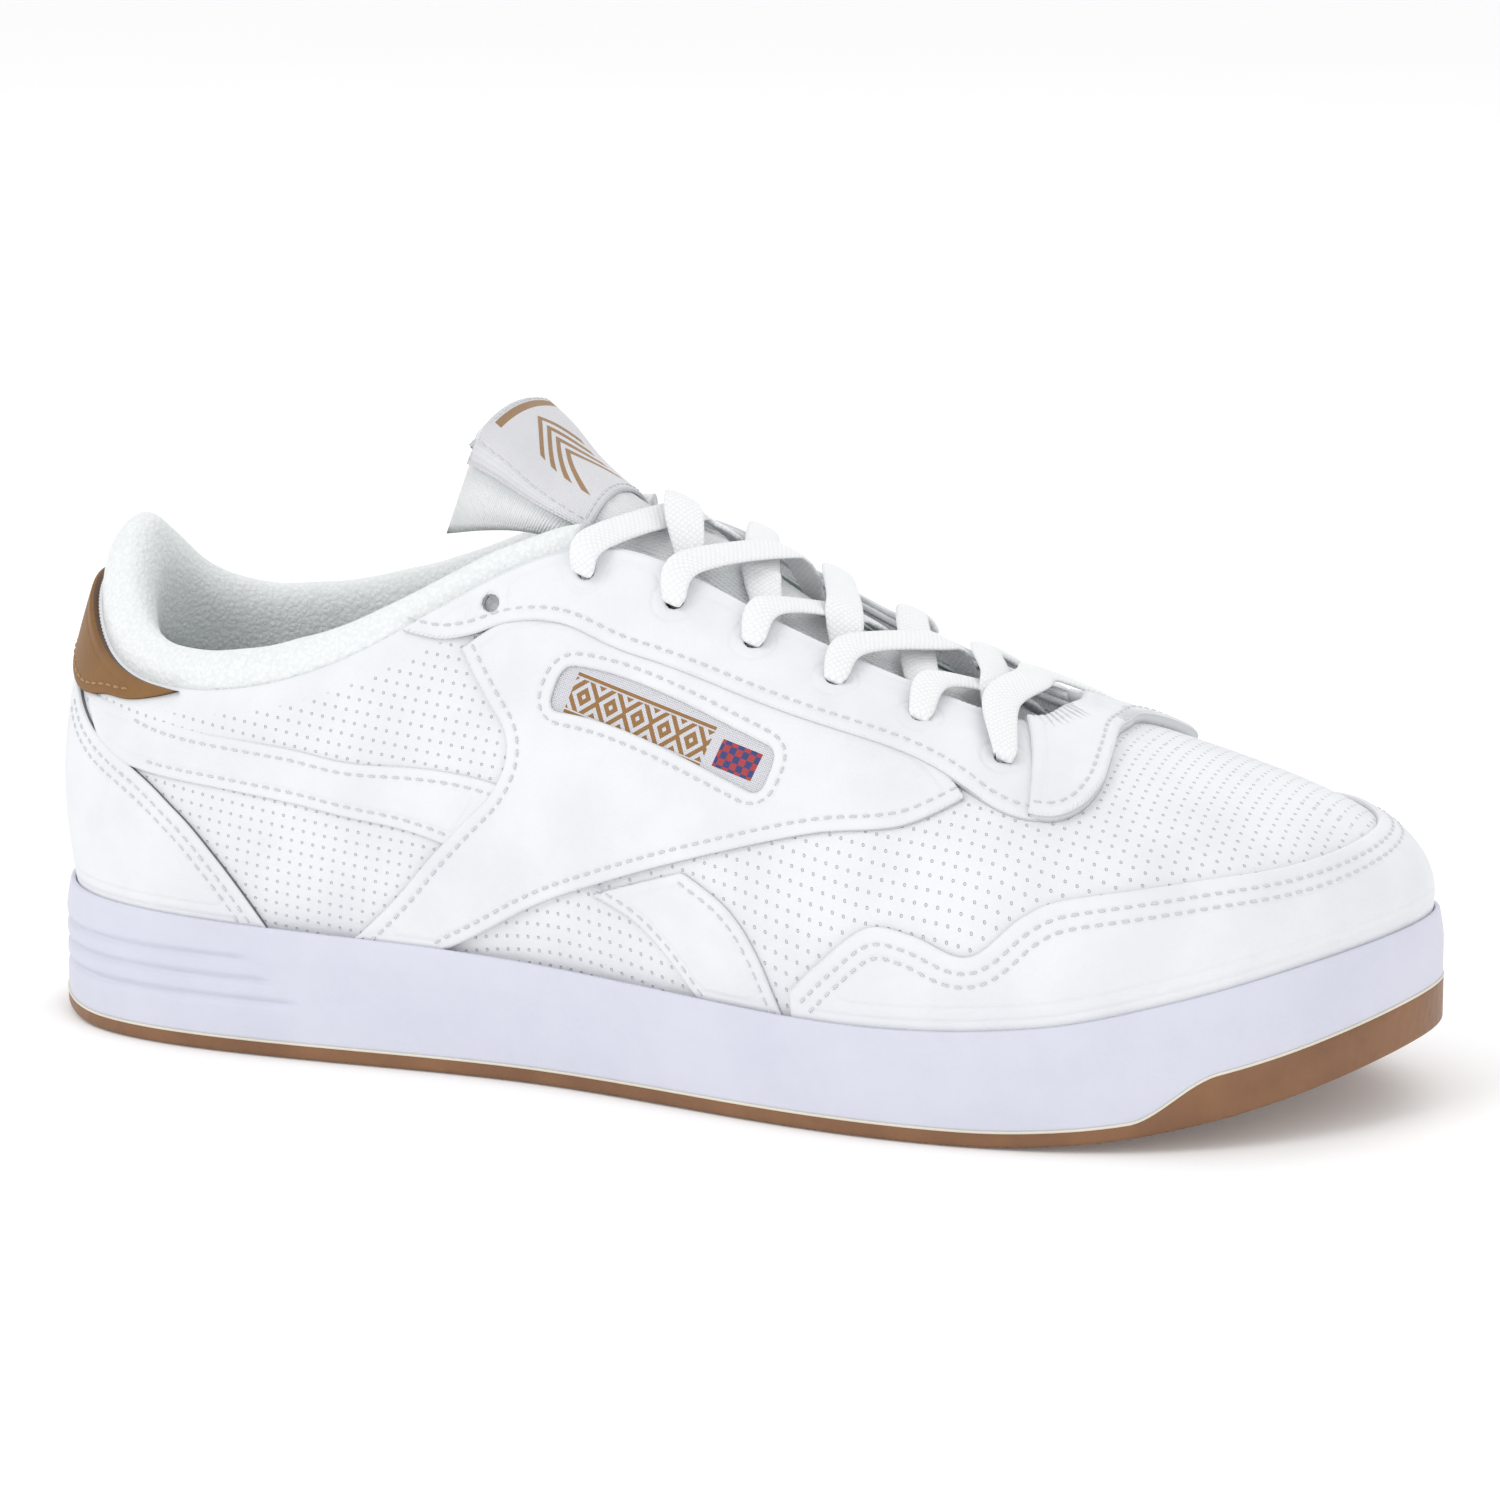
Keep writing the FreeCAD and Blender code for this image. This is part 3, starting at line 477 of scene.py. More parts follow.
def cut_panel(name, loop, low, top, holes=(), spacing=1.9, uv_rule=None):
    """Closed panel of leather with rounded cut edges.  loop and holes are (u, v) outlines."""
    loops = [oriented(loop, True)] + [oriented(hole, False) for hole in holes]
    outlines = [[(u * ACROSS, v * UPWARD) for u, v in line] for line in loops]
    tree = rim_tree(loops)
    places, faces = panel_faces(loops, panel_points(loops, outlines, tree, spacing), outlines)
    solid = []
    rims = []
    for u, v in places:
        base, n, _, _ = skin_frame(u, v)
        distance = tree.find(base)[2]
        solid.append(base + n * (level_at(top, u, v) - rounded(distance)))
        rims.append(distance)
    count = len(places)
    solid += [skin(u, v, low) for u, v in places]
    made = [tuple(f) for f in faces] + [tuple(count + i for i in reversed(f)) for f in faces]
    edge_of = {}
    for a, b in panel_border(faces):
        for k in (a, b):
            if k not in edge_of:
                edge_of[k] = len(solid)
                solid.append(solid[k].copy())
        made.append((b, a, edge_of[a], edge_of[b]))
        made.append((edge_of[b], edge_of[a], count + a, count + b))
    raw = count + len(edge_of)
    sources = list(range(count)) * 2 + list(edge_of)
    values = {"rim": rims + [0.0] * raw, "cut": [0.0] * count + [1.0] * raw,
              "level": [places[k][1] for k in sources]}
    uv = None
    if uv_rule:
        flat = [uv_rule(skin(u, v, 0.0)) for u, v in places]
        uv = [flat[k] for k in sources]
    return new_object(name, solid, made, values, uv)


def level_at(top, u, v):
    """Height over the base leather: a number, or a rule of (u, v)."""
    return top(u, v) if callable(top) else top


# ---------------------------------------------------------------- node groups and materials

def feed(tree, socket, value):
    """Gives a socket its value, or links it to the socket that feeds it."""
    if isinstance(value, bpy.types.NodeSocket):
        tree.links.new(value, socket)
    else:
        socket.default_value = value


def feed_colour(tree, socket, value):
    feed(tree, socket, value if isinstance(value, bpy.types.NodeSocket) else (*value, 1.0))


def put(tree, kind, inputs=None, **settings):
    """Adds a node.  inputs gives each socket a value or the socket that feeds it."""
    made = tree.nodes.new(kind)
    for key, value in settings.items():
        setattr(made, key, value)
    for key, value in (inputs or {}).items():
        feed(tree, made.inputs[key], value)
    return made


def calc(tree, operation, a, b=0.0, c=0.0):
    inputs = {0: a, 1: b}
    if operation in ("MULTIPLY_ADD", "COMPARE"):
        inputs[2] = c
    return put(tree, "ShaderNodeMath", inputs, operation=operation).outputs[0]


def ramp(tree, value, low, high, start=0.0, end=1.0):
    """Smooth step of a value from low to high."""
    made = put(tree, "ShaderNodeMapRange", {"Value": value, "From Min": low, "From Max": high,
                                            "To Min": start, "To Max": end}, interpolation_type="SMOOTHSTEP")
    return made.outputs["Result"]


def blend_colour(tree, share, a, b):
    made = put(tree, "ShaderNodeMix", {"Factor": share}, data_type="RGBA")
    for socket, value in zip([s for s in made.inputs if s.type == "RGBA"], (a, b)):
        feed_colour(tree, socket, value)
    return [s for s in made.outputs if s.type == "RGBA"][0]


def object_point(tree):
    return put(tree, "ShaderNodeTexCoord").outputs["Object"]


def attribute(tree, name):
    return put(tree, "ShaderNodeAttribute", attribute_name=name).outputs["Fac"]


def cut_map(tree):
    """Place on the flat cut of a piece, in millimetres."""
    return put(tree, "ShaderNodeUVMap", uv_map="Cut").outputs["UV"]


def axes_of(tree, vector):
    return put(tree, "ShaderNodeSeparateXYZ", {0: vector}).outputs


def hump(tree, value):
    """Row of round ridges, one for each half turn of the value."""
    return calc(tree, "ABSOLUTE", calc(tree, "SINE", value))


def chequer(tree, values):
    """Mask of every other square, from two values that grow by 1 for each square."""
    squares = [calc(tree, "FLOOR", value) for value in values]
    parity = calc(tree, "FRACT", calc(tree, "MULTIPLY", calc(tree, "ADD", *squares), 0.5))
    return calc(tree, "GREATER_THAN", parity, 0.25)


def new_group(name, inputs, outputs):
    """Node group with float inputs (name: value), and outputs (name: socket type)."""
    tree = bpy.data.node_groups.new(name, "ShaderNodeTree")
    for key, value in inputs.items():
        kind = "NodeSocketVector" if value == "vector" else "NodeSocketFloat"
        socket = tree.interface.new_socket(key, in_out="INPUT", socket_type=kind)
        if value != "vector":
            socket.default_value = value
    for key, kind in outputs.items():
        tree.interface.new_socket(key, in_out="OUTPUT", socket_type=kind)
    source = tree.nodes.new("NodeGroupInput").outputs
    sink = tree.nodes.new("NodeGroupOutput").inputs
    return tree, source, sink


def group_node(tree, group, inputs=None):
    made = tree.nodes.new("ShaderNodeGroup")
    made.node_tree = group
    for key, value in (inputs or {}).items():
        feed(tree, made.inputs[key], value)
    return made.outputs


def make_grain():
    """Pressed leather or moulded grain: pebble cells with fine creases, and slow tone changes."""
    tree, source, sink = new_group("Grain", {"Cell": 0.0009, "Crease": 0.5},
                                   {"Height": "NodeSocketFloat", "Tone": "NodeSocketFloat"})
    point = object_point(tree)
    scale = calc(tree, "DIVIDE", 1.0, source["Cell"])
    warp = put(tree, "ShaderNodeTexNoise", {"Vector": point, "Scale": 900.0, "Detail": 2.0}).outputs["Color"]
    bent = put(tree, "ShaderNodeVectorMath", {0: warp, 1: (0.0006, 0.0006, 0.0006)}, operation="MULTIPLY")
    place = put(tree, "ShaderNodeVectorMath", {0: point, 1: bent.outputs[0]}, operation="ADD").outputs[0]
    cells = put(tree, "ShaderNodeTexVoronoi", {"Vector": place, "Scale": scale, "Smoothness": 0.6},
                feature="SMOOTH_F1").outputs["Distance"]
    fine = put(tree, "ShaderNodeTexNoise", {"Vector": point, "Scale": 3800.0, "Detail": 3.0}).outputs["Fac"]
    slow = put(tree, "ShaderNodeTexNoise", {"Vector": point, "Scale": 55.0, "Detail": 4.0,
                                            "Roughness": 0.55}).outputs["Fac"]
    pebble = calc(tree, "SUBTRACT", 1.0, cells)
    mixed = calc(tree, "MULTIPLY_ADD", fine, source["Crease"], pebble)
    tree.links.new(mixed, sink["Height"])
    tree.links.new(slow, sink["Tone"])
    return tree


def make_seam():
    """Stitch furrows at two distances from a panel's cut edge, and the mask of its raw edge."""
    tree, source, sink = new_group("Seam", {"First": 2.6, "Second": 2.6, "Width": 0.55},
                                   {"Height": "NodeSocketFloat", "Raw": "NodeSocketFloat"})
    rim = attribute(tree, "rim")
    heights = []
    for key in ("First", "Second"):
        away = calc(tree, "DIVIDE", calc(tree, "SUBTRACT", rim, source[key]), source["Width"])
        squared = calc(tree, "MULTIPLY", away, away)
        heights.append(calc(tree, "EXPONENT", calc(tree, "MULTIPLY", squared, -1.0)))
    furrow = calc(tree, "MAXIMUM", heights[0], heights[1])
    tree.links.new(calc(tree, "MULTIPLY", furrow, -1.0), sink["Height"])
    tree.links.new(ramp(tree, attribute(tree, "cut"), 0.35, 0.75), sink["Raw"])
    return tree


def make_punched():
    """Round punched dots on a square grid, from the flat cut of the panel in millimetres."""
    tree, source, sink = new_group("Punched", {"Flat": "vector", "Pitch": 3.0, "Radius": 0.42},
                                   {"Hole": "NodeSocketFloat"})
    split = axes_of(tree, source["Flat"])
    squares = []
    for axis in ("X", "Y"):
        turns = calc(tree, "DIVIDE", split[axis], source["Pitch"])
        centred = calc(tree, "SUBTRACT", calc(tree, "FRACT", turns), 0.5)
        away = calc(tree, "MULTIPLY", centred, source["Pitch"])
        squares.append(calc(tree, "MULTIPLY", away, away))
    distance = calc(tree, "SQRT", calc(tree, "ADD", squares[0], squares[1]))
    far = calc(tree, "MULTIPLY", source["Radius"], 1.25)
    near = calc(tree, "MULTIPLY", source["Radius"], 0.7)
    tree.links.new(ramp(tree, distance, near, far, 1.0, 0.0), sink["Hole"])
    return tree


def make_weave():
    """Over-and-under threads in two directions, from a flat vector in millimetres."""
    tree, source, sink = new_group("Weave", {"Flat": "vector", "Thread": 0.6},
                                   {"Height": "NodeSocketFloat", "Over": "NodeSocketFloat"})
    split = axes_of(tree, source["Flat"])
    waves = []
    for axis in ("X", "Y"):
        turns = calc(tree, "DIVIDE", split[axis], source["Thread"])
        waves.append(hump(tree, calc(tree, "MULTIPLY", turns, math.pi)))
    over = chequer(tree, [calc(tree, "DIVIDE", split[axis], source["Thread"]) for axis in ("X", "Y")])
    picked = put(tree, "ShaderNodeMix", {"Factor": over, 2: waves[0], 3: waves[1]}, data_type="FLOAT")
    tree.links.new(picked.outputs[0], sink["Height"])
    tree.links.new(over, sink["Over"])
    return tree


def make_fluff():
    """Looped or brushed pile, from Object coordinates."""
    tree, source, sink = new_group("Fluff", {"Loop": 0.0011},
                                   {"Height": "NodeSocketFloat", "Tone": "NodeSocketFloat"})
    point = object_point(tree)
    scale = calc(tree, "DIVIDE", 1.0, source["Loop"])
    cells = put(tree, "ShaderNodeTexVoronoi", {"Vector": point, "Scale": scale, "Randomness": 1.0},
                feature="F1").outputs["Distance"]
    fine = put(tree, "ShaderNodeTexNoise", {"Vector": point, "Scale": 1900.0, "Detail": 4.0}).outputs["Fac"]
    slow = put(tree, "ShaderNodeTexNoise", {"Vector": point, "Scale": 160.0, "Detail": 3.0}).outputs["Fac"]
    pile = calc(tree, "SUBTRACT", 1.0, cells)
    tree.links.new(calc(tree, "MULTIPLY_ADD", fine, 0.8, pile), sink["Height"])
    tree.links.new(slow, sink["Tone"])
    return tree


GRAIN = make_grain()
SEAM = make_seam()
PUNCHED = make_punched()
WEAVE = make_weave()
FLUFF = make_fluff()


def new_material(name):
    material = bpy.data.materials.new(name)
    material.use_nodes = True
    tree = material.node_tree
    return material, tree, tree.nodes["Principled BSDF"]


def surface(tree, shader, colour, roughness, height, depth, **plain):
    """Feeds colour, roughness and relief (depth in metres for a height of 1) into the shader."""
    bump = put(tree, "ShaderNodeBump", {"Strength": 1.0, "Distance": depth, "Height": height})
    tree.links.new(bump.outputs["Normal"], shader.inputs["Normal"])
    feed_colour(tree, shader.inputs["Base Color"], colour)
    feed(tree, shader.inputs["Roughness"], roughness)
    for key, value in plain.items():
        shader.inputs[key.replace("_", " ")].default_value = value


WHITE_LOW = (0.735, 0.750, 0.780)
WHITE_HIGH = (0.790, 0.802, 0.822)
CORE = (0.62, 0.63, 0.65)
GREY_CORE = (0.17, 0.19, 0.20)


# grey of the punched dots: painted shade inside each hole, with the lining below it, as no hole is cut
HOLE_SHADE_GREY = (0.42, 0.44, 0.48)
NO_ROWS = (-9.0, -9.0)
TONE_LOW = 0.3
TONE_HIGH = 0.7
LABEL_BROWN = (0.34, 0.17, 0.045)
NAVY = (0.035, 0.05, 0.20)
RED = (0.45, 0.045, 0.05)
CHEQUER = 1.45


def leather(name, low=WHITE_LOW, high=WHITE_HIGH, raw=CORE, rows=(2.6, 2.6), punched=None):
    """Coated leather with grain, stitch furrows, a raw cut edge and, below the level punched, dots tinted
    grey as painted shade of the holes.
    """
    material, tree, shader = new_material(name)
    grain = group_node(tree, GRAIN, {"Cell": 0.0009, "Crease": 0.5})
    seam = group_node(tree, SEAM, {"First": rows[0], "Second": rows[1]})
    relief = calc(tree, "MULTIPLY_ADD", seam["Height"], 2.6, grain["Height"])
    relief = calc(tree, "MULTIPLY_ADD", grain["Tone"], 6.0, relief)
    tone = ramp(tree, grain["Tone"], TONE_LOW, TONE_HIGH)
    colour = blend_colour(tree, tone, low, high)
    if punched is not None:
        hole = group_node(tree, PUNCHED, {"Flat": cut_map(tree), "Pitch": 2.4, "Radius": 0.27})["Hole"]
        hole = calc(tree, "MULTIPLY", hole, ramp(tree, attribute(tree, "level"), punched, punched - 0.02))
        # painted shade: each punched dot is tinted grey for the shaded inside of the hole and the lining
        # below it
        colour = blend_colour(tree, calc(tree, "MULTIPLY", hole, 0.42), colour, HOLE_SHADE_GREY)
        relief = calc(tree, "MULTIPLY_ADD", hole, -6.0, relief)
    colour = blend_colour(tree, seam["Raw"], colour, raw)
    worn = ramp(tree, grain["Tone"], 0.25, 0.75, 0.45, 0.57)
    surface(tree, shader, colour, worn, relief, 0.00005, Specular_IOR_Level=0.42)
    return material


def thread(name, colour, groove_shade):
    """Sewing thread, with its twist along the stitch and painted shade in the twist's grooves."""
    material, tree, shader = new_material(name)
    point = object_point(tree)
    twist = put(tree, "ShaderNodeTexWave", {"Vector": point, "Scale": 900.0, "Distortion": 1.0},
                wave_type="BANDS", bands_direction="DIAGONAL").outputs["Fac"]
    # painted shade: the low bands of the twist's bump are coloured darker, as shade in the thread's grooves
    tint = blend_colour(tree, twist, groove_shade, colour)
    surface(tree, shader, tint, 0.7, twist, 0.0001, Sheen_Weight=0.2)
    return material


def terry_cloth(name, low, high, depth):
    material, tree, shader = new_material(name)
    fluff = group_node(tree, FLUFF, {"Loop": 0.0011})
    # painted shade: colour follows the pile's bump height, darker in the hollows between loops
    colour = blend_colour(tree, ramp(tree, fluff["Height"], 0.55, 1.35), low, high)
    surface(tree, shader, colour, 0.92, fluff["Height"], depth, Sheen_Weight=0.35, Sheen_Roughness=0.45)
    return material


def woven_cloth(name, low, high, thread_width):
    material, tree, shader = new_material(name)
    flat = put(tree, "ShaderNodeVectorMath", {0: object_point(tree), "Scale": 1000.0}, operation="SCALE")
    weave = group_node(tree, WEAVE, {"Flat": flat.outputs[0], "Thread": thread_width})
    soil = put(tree, "ShaderNodeTexNoise", {"Vector": object_point(tree), "Scale": 130.0}).outputs["Fac"]
    # painted shade: colour follows the weave's bump height, darker in the gaps between threads; the soil
    # noise keeps random patches dark
    share = calc(tree, "MULTIPLY", weave["Height"], ramp(tree, soil, 0.2, 0.6))
    colour = blend_colour(tree, share, low, high)
    surface(tree, shader, colour, 0.85, weave["Height"], 0.00015, Sheen_Weight=0.15)
    return material


KNIT_RIB = 1.1
KNIT_LOOP = 0.9


def knit_cloth(name, low, high):
    """Fine knit with ribs that run along the piece, from its flat cut."""
    material, tree, shader = new_material(name)
    split = axes_of(tree, cut_map(tree))
    turns = calc(tree, "DIVIDE", split["X"], KNIT_RIB)
    ribs = hump(tree, calc(tree, "MULTIPLY", turns, math.pi))
    slant = calc(tree, "MULTIPLY_ADD", split["X"], 0.9, split["Y"])
    loops = calc(tree, "SINE", calc(tree, "MULTIPLY", slant, 2 * math.pi / KNIT_LOOP))
    fluff = group_node(tree, FLUFF, {"Loop": 0.0008})
    relief = calc(tree, "MULTIPLY_ADD", loops, 0.35, ribs)
    relief = calc(tree, "MULTIPLY_ADD", fluff["Height"], 0.5, relief)
    # painted shade: colour follows the bump height, darker in the hollows between ribs and loops
    colour = blend_colour(tree, ramp(tree, relief, 0.3, 1.7), low, high)
    surface(tree, shader, colour, 0.9, relief, 0.00016, Sheen_Weight=0.3)
    return material


BRAID_HALF = 4.0
BRAID_PITCH = 1.35


def braid_cloth(name, low, high):
    """Flat tubular braid: two sets of diagonal threads that meet along the middle."""
    material, tree, shader = new_material(name)
    split = axes_of(tree, cut_map(tree))
    heights = []
    for sign in (1.0, -1.0):
        slant = calc(tree, "MULTIPLY_ADD", split["Y"], sign * 0.9, split["X"])
        heights.append(hump(tree, calc(tree, "MULTIPLY", slant, math.pi / BRAID_PITCH)))
    woven = calc(tree, "MULTIPLY", heights[0], heights[1])
    border = ramp(tree, calc(tree, "ABSOLUTE", split["Y"]), BRAID_HALF * 0.55, BRAID_HALF)
    relief = calc(tree, "MULTIPLY_ADD", border, 0.5, woven)
    fluff = group_node(tree, FLUFF, {"Loop": 0.0006})
    relief = calc(tree, "MULTIPLY_ADD", fluff["Height"], 0.35, relief)
    # painted shade: colour follows the crossing threads' bump height, darker where they dip
    colour = blend_colour(tree, ramp(tree, woven, 0.0, 0.75), low, high)
    surface(tree, shader, colour, 0.85, relief, 0.00012, Sheen_Weight=0.25)
    return material


TREAD_ZIGZAG = 0.006
TREAD_PITCH = 0.0022


def moulded(name, low, high, cell, depth, roughness, tread=False):
    """Moulded rubber or foam, with fine grain; the tread adds a herringbone underneath."""
    material, tree, shader = new_material(name)
    grain = group_node(tree, GRAIN, {"Cell": cell, "Crease": 0.35})
    relief = grain["Height"]
    if tread:
        split = axes_of(tree, object_point(tree))
        zigzag = calc(tree, "PINGPONG", split["Y"], TREAD_ZIGZAG)
        bars = calc(tree, "PINGPONG", calc(tree, "ADD", split["X"], zigzag), TREAD_PITCH)
        cut = ramp(tree, bars, 0.0005, 0.0009)
        facing = axes_of(tree, put(tree, "ShaderNodeNewGeometry").outputs["Normal"])
        under = ramp(tree, facing["Z"], -0.6, -0.9)
        relief = calc(tree, "MULTIPLY_ADD", calc(tree, "MULTIPLY", cut, under), 14.0, relief)
    tone = ramp(tree, grain["Tone"], TONE_LOW, TONE_HIGH)
    colour = blend_colour(tree, tone, low, high)
    surface(tree, shader, colour, ramp(tree, grain["Tone"], 0.2, 0.8, roughness - 0.05, roughness + 0.06),
            relief, depth, Specular_IOR_Level=0.45)
    return material


def side_pattern(tree, flat):
    """Share of brown thread on the side label: a row of nested lozenges between two bars."""
    split = axes_of(tree, flat)
    across = calc(tree, "PINGPONG", split["X"], 3.2)
    upward = calc(tree, "ABSOLUTE", calc(tree, "SUBTRACT", split["Y"], 5.4))
    lozenge = calc(tree, "ADD", across, calc(tree, "MULTIPLY", upward, 0.85))
    rings = calc(tree, "GREATER_THAN", calc(tree, "PINGPONG", lozenge, 1.15), 0.55)
    inner = calc(tree, "LESS_THAN", upward, 3.3)
    bars = calc(tree, "COMPARE", upward, 4.0, 0.35)
    patterned = calc(tree, "MAXIMUM", calc(tree, "MULTIPLY", rings, inner), bars)
    started = calc(tree, "GREATER_THAN", split["X"], 3.4)
    ended = calc(tree, "LESS_THAN", split["X"], 36.0)
    return calc(tree, "MULTIPLY", patterned, calc(tree, "MULTIPLY", started, ended)), split


def side_label_cloth():
    """Twill label with a brown lozenge row and a small navy and red chequer block."""
    material, tree, shader = new_material("side_label_twill")
    flat = cut_map(tree)
    brown, split = side_pattern(tree, flat)
    weave = group_node(tree, WEAVE, {"Flat": flat, "Thread": 0.42})
    # painted shade: the ground colour follows the weave's bump height, darker where threads dip
    colour = blend_colour(tree, weave["Height"], (0.62, 0.62, 0.68), (0.76, 0.76, 0.80))
    colour = blend_colour(tree, brown, colour, LABEL_BROWN)
    block = calc(tree, "MULTIPLY", calc(tree, "COMPARE", split["X"], 43.0, 4.6),
                 calc(tree, "COMPARE", split["Y"], 5.2, 2.9))
    checks = chequer(tree, [calc(tree, "DIVIDE", split[axis], CHEQUER) for axis in ("X", "Y")])
    check = blend_colour(tree, checks, NAVY, RED)
    colour = blend_colour(tree, block, colour, check)
    relief = calc(tree, "MULTIPLY_ADD", calc(tree, "MAXIMUM", brown, block), 1.2, weave["Height"])
    surface(tree, shader, colour, 0.6, relief, 0.00012, Sheen_Weight=0.2)
    return material


def tongue_label_cloth():
    """Satin label with a brown bar and a fan of nested chevrons."""
    material, tree, shader = new_material("tongue_label_satin")
    flat = cut_map(tree)
    split = axes_of(tree, flat)
    weave = group_node(tree, WEAVE, {"Flat": flat, "Thread": 0.35})
    side = calc(tree, "ABSOLUTE", split["X"])
    chevron = calc(tree, "ADD", split["Y"], calc(tree, "MULTIPLY", side, 0.75))
    nested = calc(tree, "GREATER_THAN", calc(tree, "PINGPONG", chevron, 1.7), 0.85)
    zone = calc(tree, "MULTIPLY", calc(tree, "LESS_THAN", chevron, 24.0), calc(tree, "LESS_THAN", side, 11.5))
    zone = calc(tree, "MULTIPLY", zone, calc(tree, "GREATER_THAN", chevron, 11.0))
    bar = calc(tree, "COMPARE", split["Y"], 27.2, 1.3)
    bar = calc(tree, "MULTIPLY", bar, calc(tree, "LESS_THAN", side, 15.0))
    brown = calc(tree, "MAXIMUM", calc(tree, "MULTIPLY", nested, zone), bar)
    # painted shade: the ground colour follows the weave's bump height, darker where threads dip
    colour = blend_colour(tree, weave["Height"], (0.70, 0.70, 0.75), (0.80, 0.80, 0.83))
    colour = blend_colour(tree, brown, colour, LABEL_BROWN)
    relief = calc(tree, "MULTIPLY_ADD", brown, 0.8, weave["Height"])
    surface(tree, shader, colour, 0.5, relief, 0.0001, Sheen_Weight=0.2)
    return material


BROWN_LOW = (0.200, 0.094, 0.026)
BROWN_HIGH = (0.250, 0.122, 0.036)
MATERIALS = {
    "white": leather("white_leather_plain"),
    "white_double": leather("white_leather_two_rows", rows=(3.2, 5.8)),
    "white_grey_edge": leather("white_leather_grey_edge", raw=GREY_CORE, rows=(2.4, 4.6)),
    "quarter": leather("white_leather_quarter", rows=NO_ROWS, punched=0.90),
    "vamp": leather("white_leather_vamp", rows=NO_ROWS, punched=2.0),
    "brown": leather("brown_leather", BROWN_LOW, BROWN_HIGH, raw=(0.10, 0.05, 0.02), rows=(2.0, 2.0)),
    "white_thread": thread("white_thread", (0.80, 0.81, 0.83), (0.55, 0.56, 0.60)),
    "brown_thread": thread("brown_thread", (0.52, 0.29, 0.12), (0.30, 0.15, 0.05)),
    "terry": terry_cloth("terry", (0.775, 0.805, 0.805), (0.850, 0.872, 0.872), depth=0.00022),
    "lining": woven_cloth("lining_mesh", (0.50, 0.57, 0.56), (0.66, 0.72, 0.71), 0.9),
    "sock": woven_cloth("sock_cloth", (0.50, 0.55, 0.55), (0.68, 0.72, 0.72), 0.8),
    "knit": knit_cloth("tongue_knit", (0.755, 0.775, 0.785), (0.845, 0.86, 0.868)),
    "braid": braid_cloth("lace_braid", (0.80, 0.815, 0.825), (0.885, 0.895, 0.90)),
    "film": moulded("aglet_film", (0.70, 0.71, 0.73), (0.78, 0.79, 0.81), 0.0004, 0.00001, 0.22),
    "cup": moulded("white_rubber", (0.615, 0.622, 0.720), (0.650, 0.657, 0.752), 0.0007, 0.000035, 0.52),
    "gum": moulded("gum_rubber", (0.190, 0.086, 0.038), (0.250, 0.118, 0.053), 0.0021, 0.00016, 0.45,
                   tread=True),
    "board": woven_cloth("lasting_board", (0.42, 0.40, 0.36), (0.58, 0.56, 0.52), 1.4),
    "stiff": moulded("stiffener", (0.50, 0.49, 0.46), (0.60, 0.59, 0.56), 0.0012, 0.0001, 0.6),
    "foam": moulded("padding_foam", (0.66, 0.62, 0.45), (0.74, 0.70, 0.54), 0.0008, 0.0002, 0.9),
    "tape": woven_cloth("eyelet_tape", (0.58, 0.58, 0.60), (0.70, 0.70, 0.72), 0.7),
    "side_label": side_label_cloth(),
    "tongue_label": tongue_label_cloth(),
    "cream": moulded("cream_line", (0.70, 0.66, 0.55), (0.76, 0.72, 0.62), 0.0007, 0.00002, 0.5),
}


# ---------------------------------------------------------------- camera, light and floor

LENS = 127.5
SENSOR = 36.0
AZIMUTH = math.radians(20)
ELEVATION = math.radians(12)
CAMERA_AWAY = 1.100
LOOK_AT = Vector((0.00531, 0.00193, 0.06294))


def make_camera():
    data = bpy.data.cameras.new("camera")
    data.lens = LENS
    data.sensor_width = SENSOR
    camera = bpy.data.objects.new("camera", data)
    bpy.context.scene.collection.objects.link(camera)
    back = Vector((math.sin(AZIMUTH) * math.cos(ELEVATION), -math.cos(AZIMUTH) * math.cos(ELEVATION),
                   math.sin(ELEVATION)))
    camera.location = LOOK_AT + back * CAMERA_AWAY
    camera.rotation_euler = (-back).to_track_quat("-Z", "Y").to_euler()
    bpy.context.scene.camera = camera


def area_light(name, place, size, power):
    data = bpy.data.lights.new(name, "AREA")
    data.size = size
    data.energy = power
    light = bpy.data.objects.new(name, data)
    bpy.context.scene.collection.objects.link(light)
    light.location = place
    light.rotation_euler = (Vector((0, 0, 0.05)) - Vector(place)).to_track_quat("-Z", "Y").to_euler()


SKY_LIGHT = 0.90
FLOOR_GLOW = 0.09


def make_studio():
    bpy.context.scene.view_settings.view_transform = "Standard"
    area_light("key", (-0.75, -1.25, 1.45), 0.9, 8.5)
    area_light("fill", (1.30, -0.95, 0.55), 1.1, 2.0)
    area_light("rim", (0.25, 1.30, 1.25), 0.9, 4.0)
    world = bpy.data.worlds.new("studio")
    world.use_nodes = True
    bpy.context.scene.world = world
    tree = world.node_tree
    backdrop = put(tree, "ShaderNodeLightPath").outputs["Is Camera Ray"]
    strength = calc(tree, "MULTIPLY_ADD", backdrop, 1.0 - SKY_LIGHT, SKY_LIGHT)
    tree.nodes["Background"].inputs["Color"].default_value = (1.0, 1.0, 1.0, 1.0)
    tree.links.new(strength, tree.nodes["Background"].inputs["Strength"])


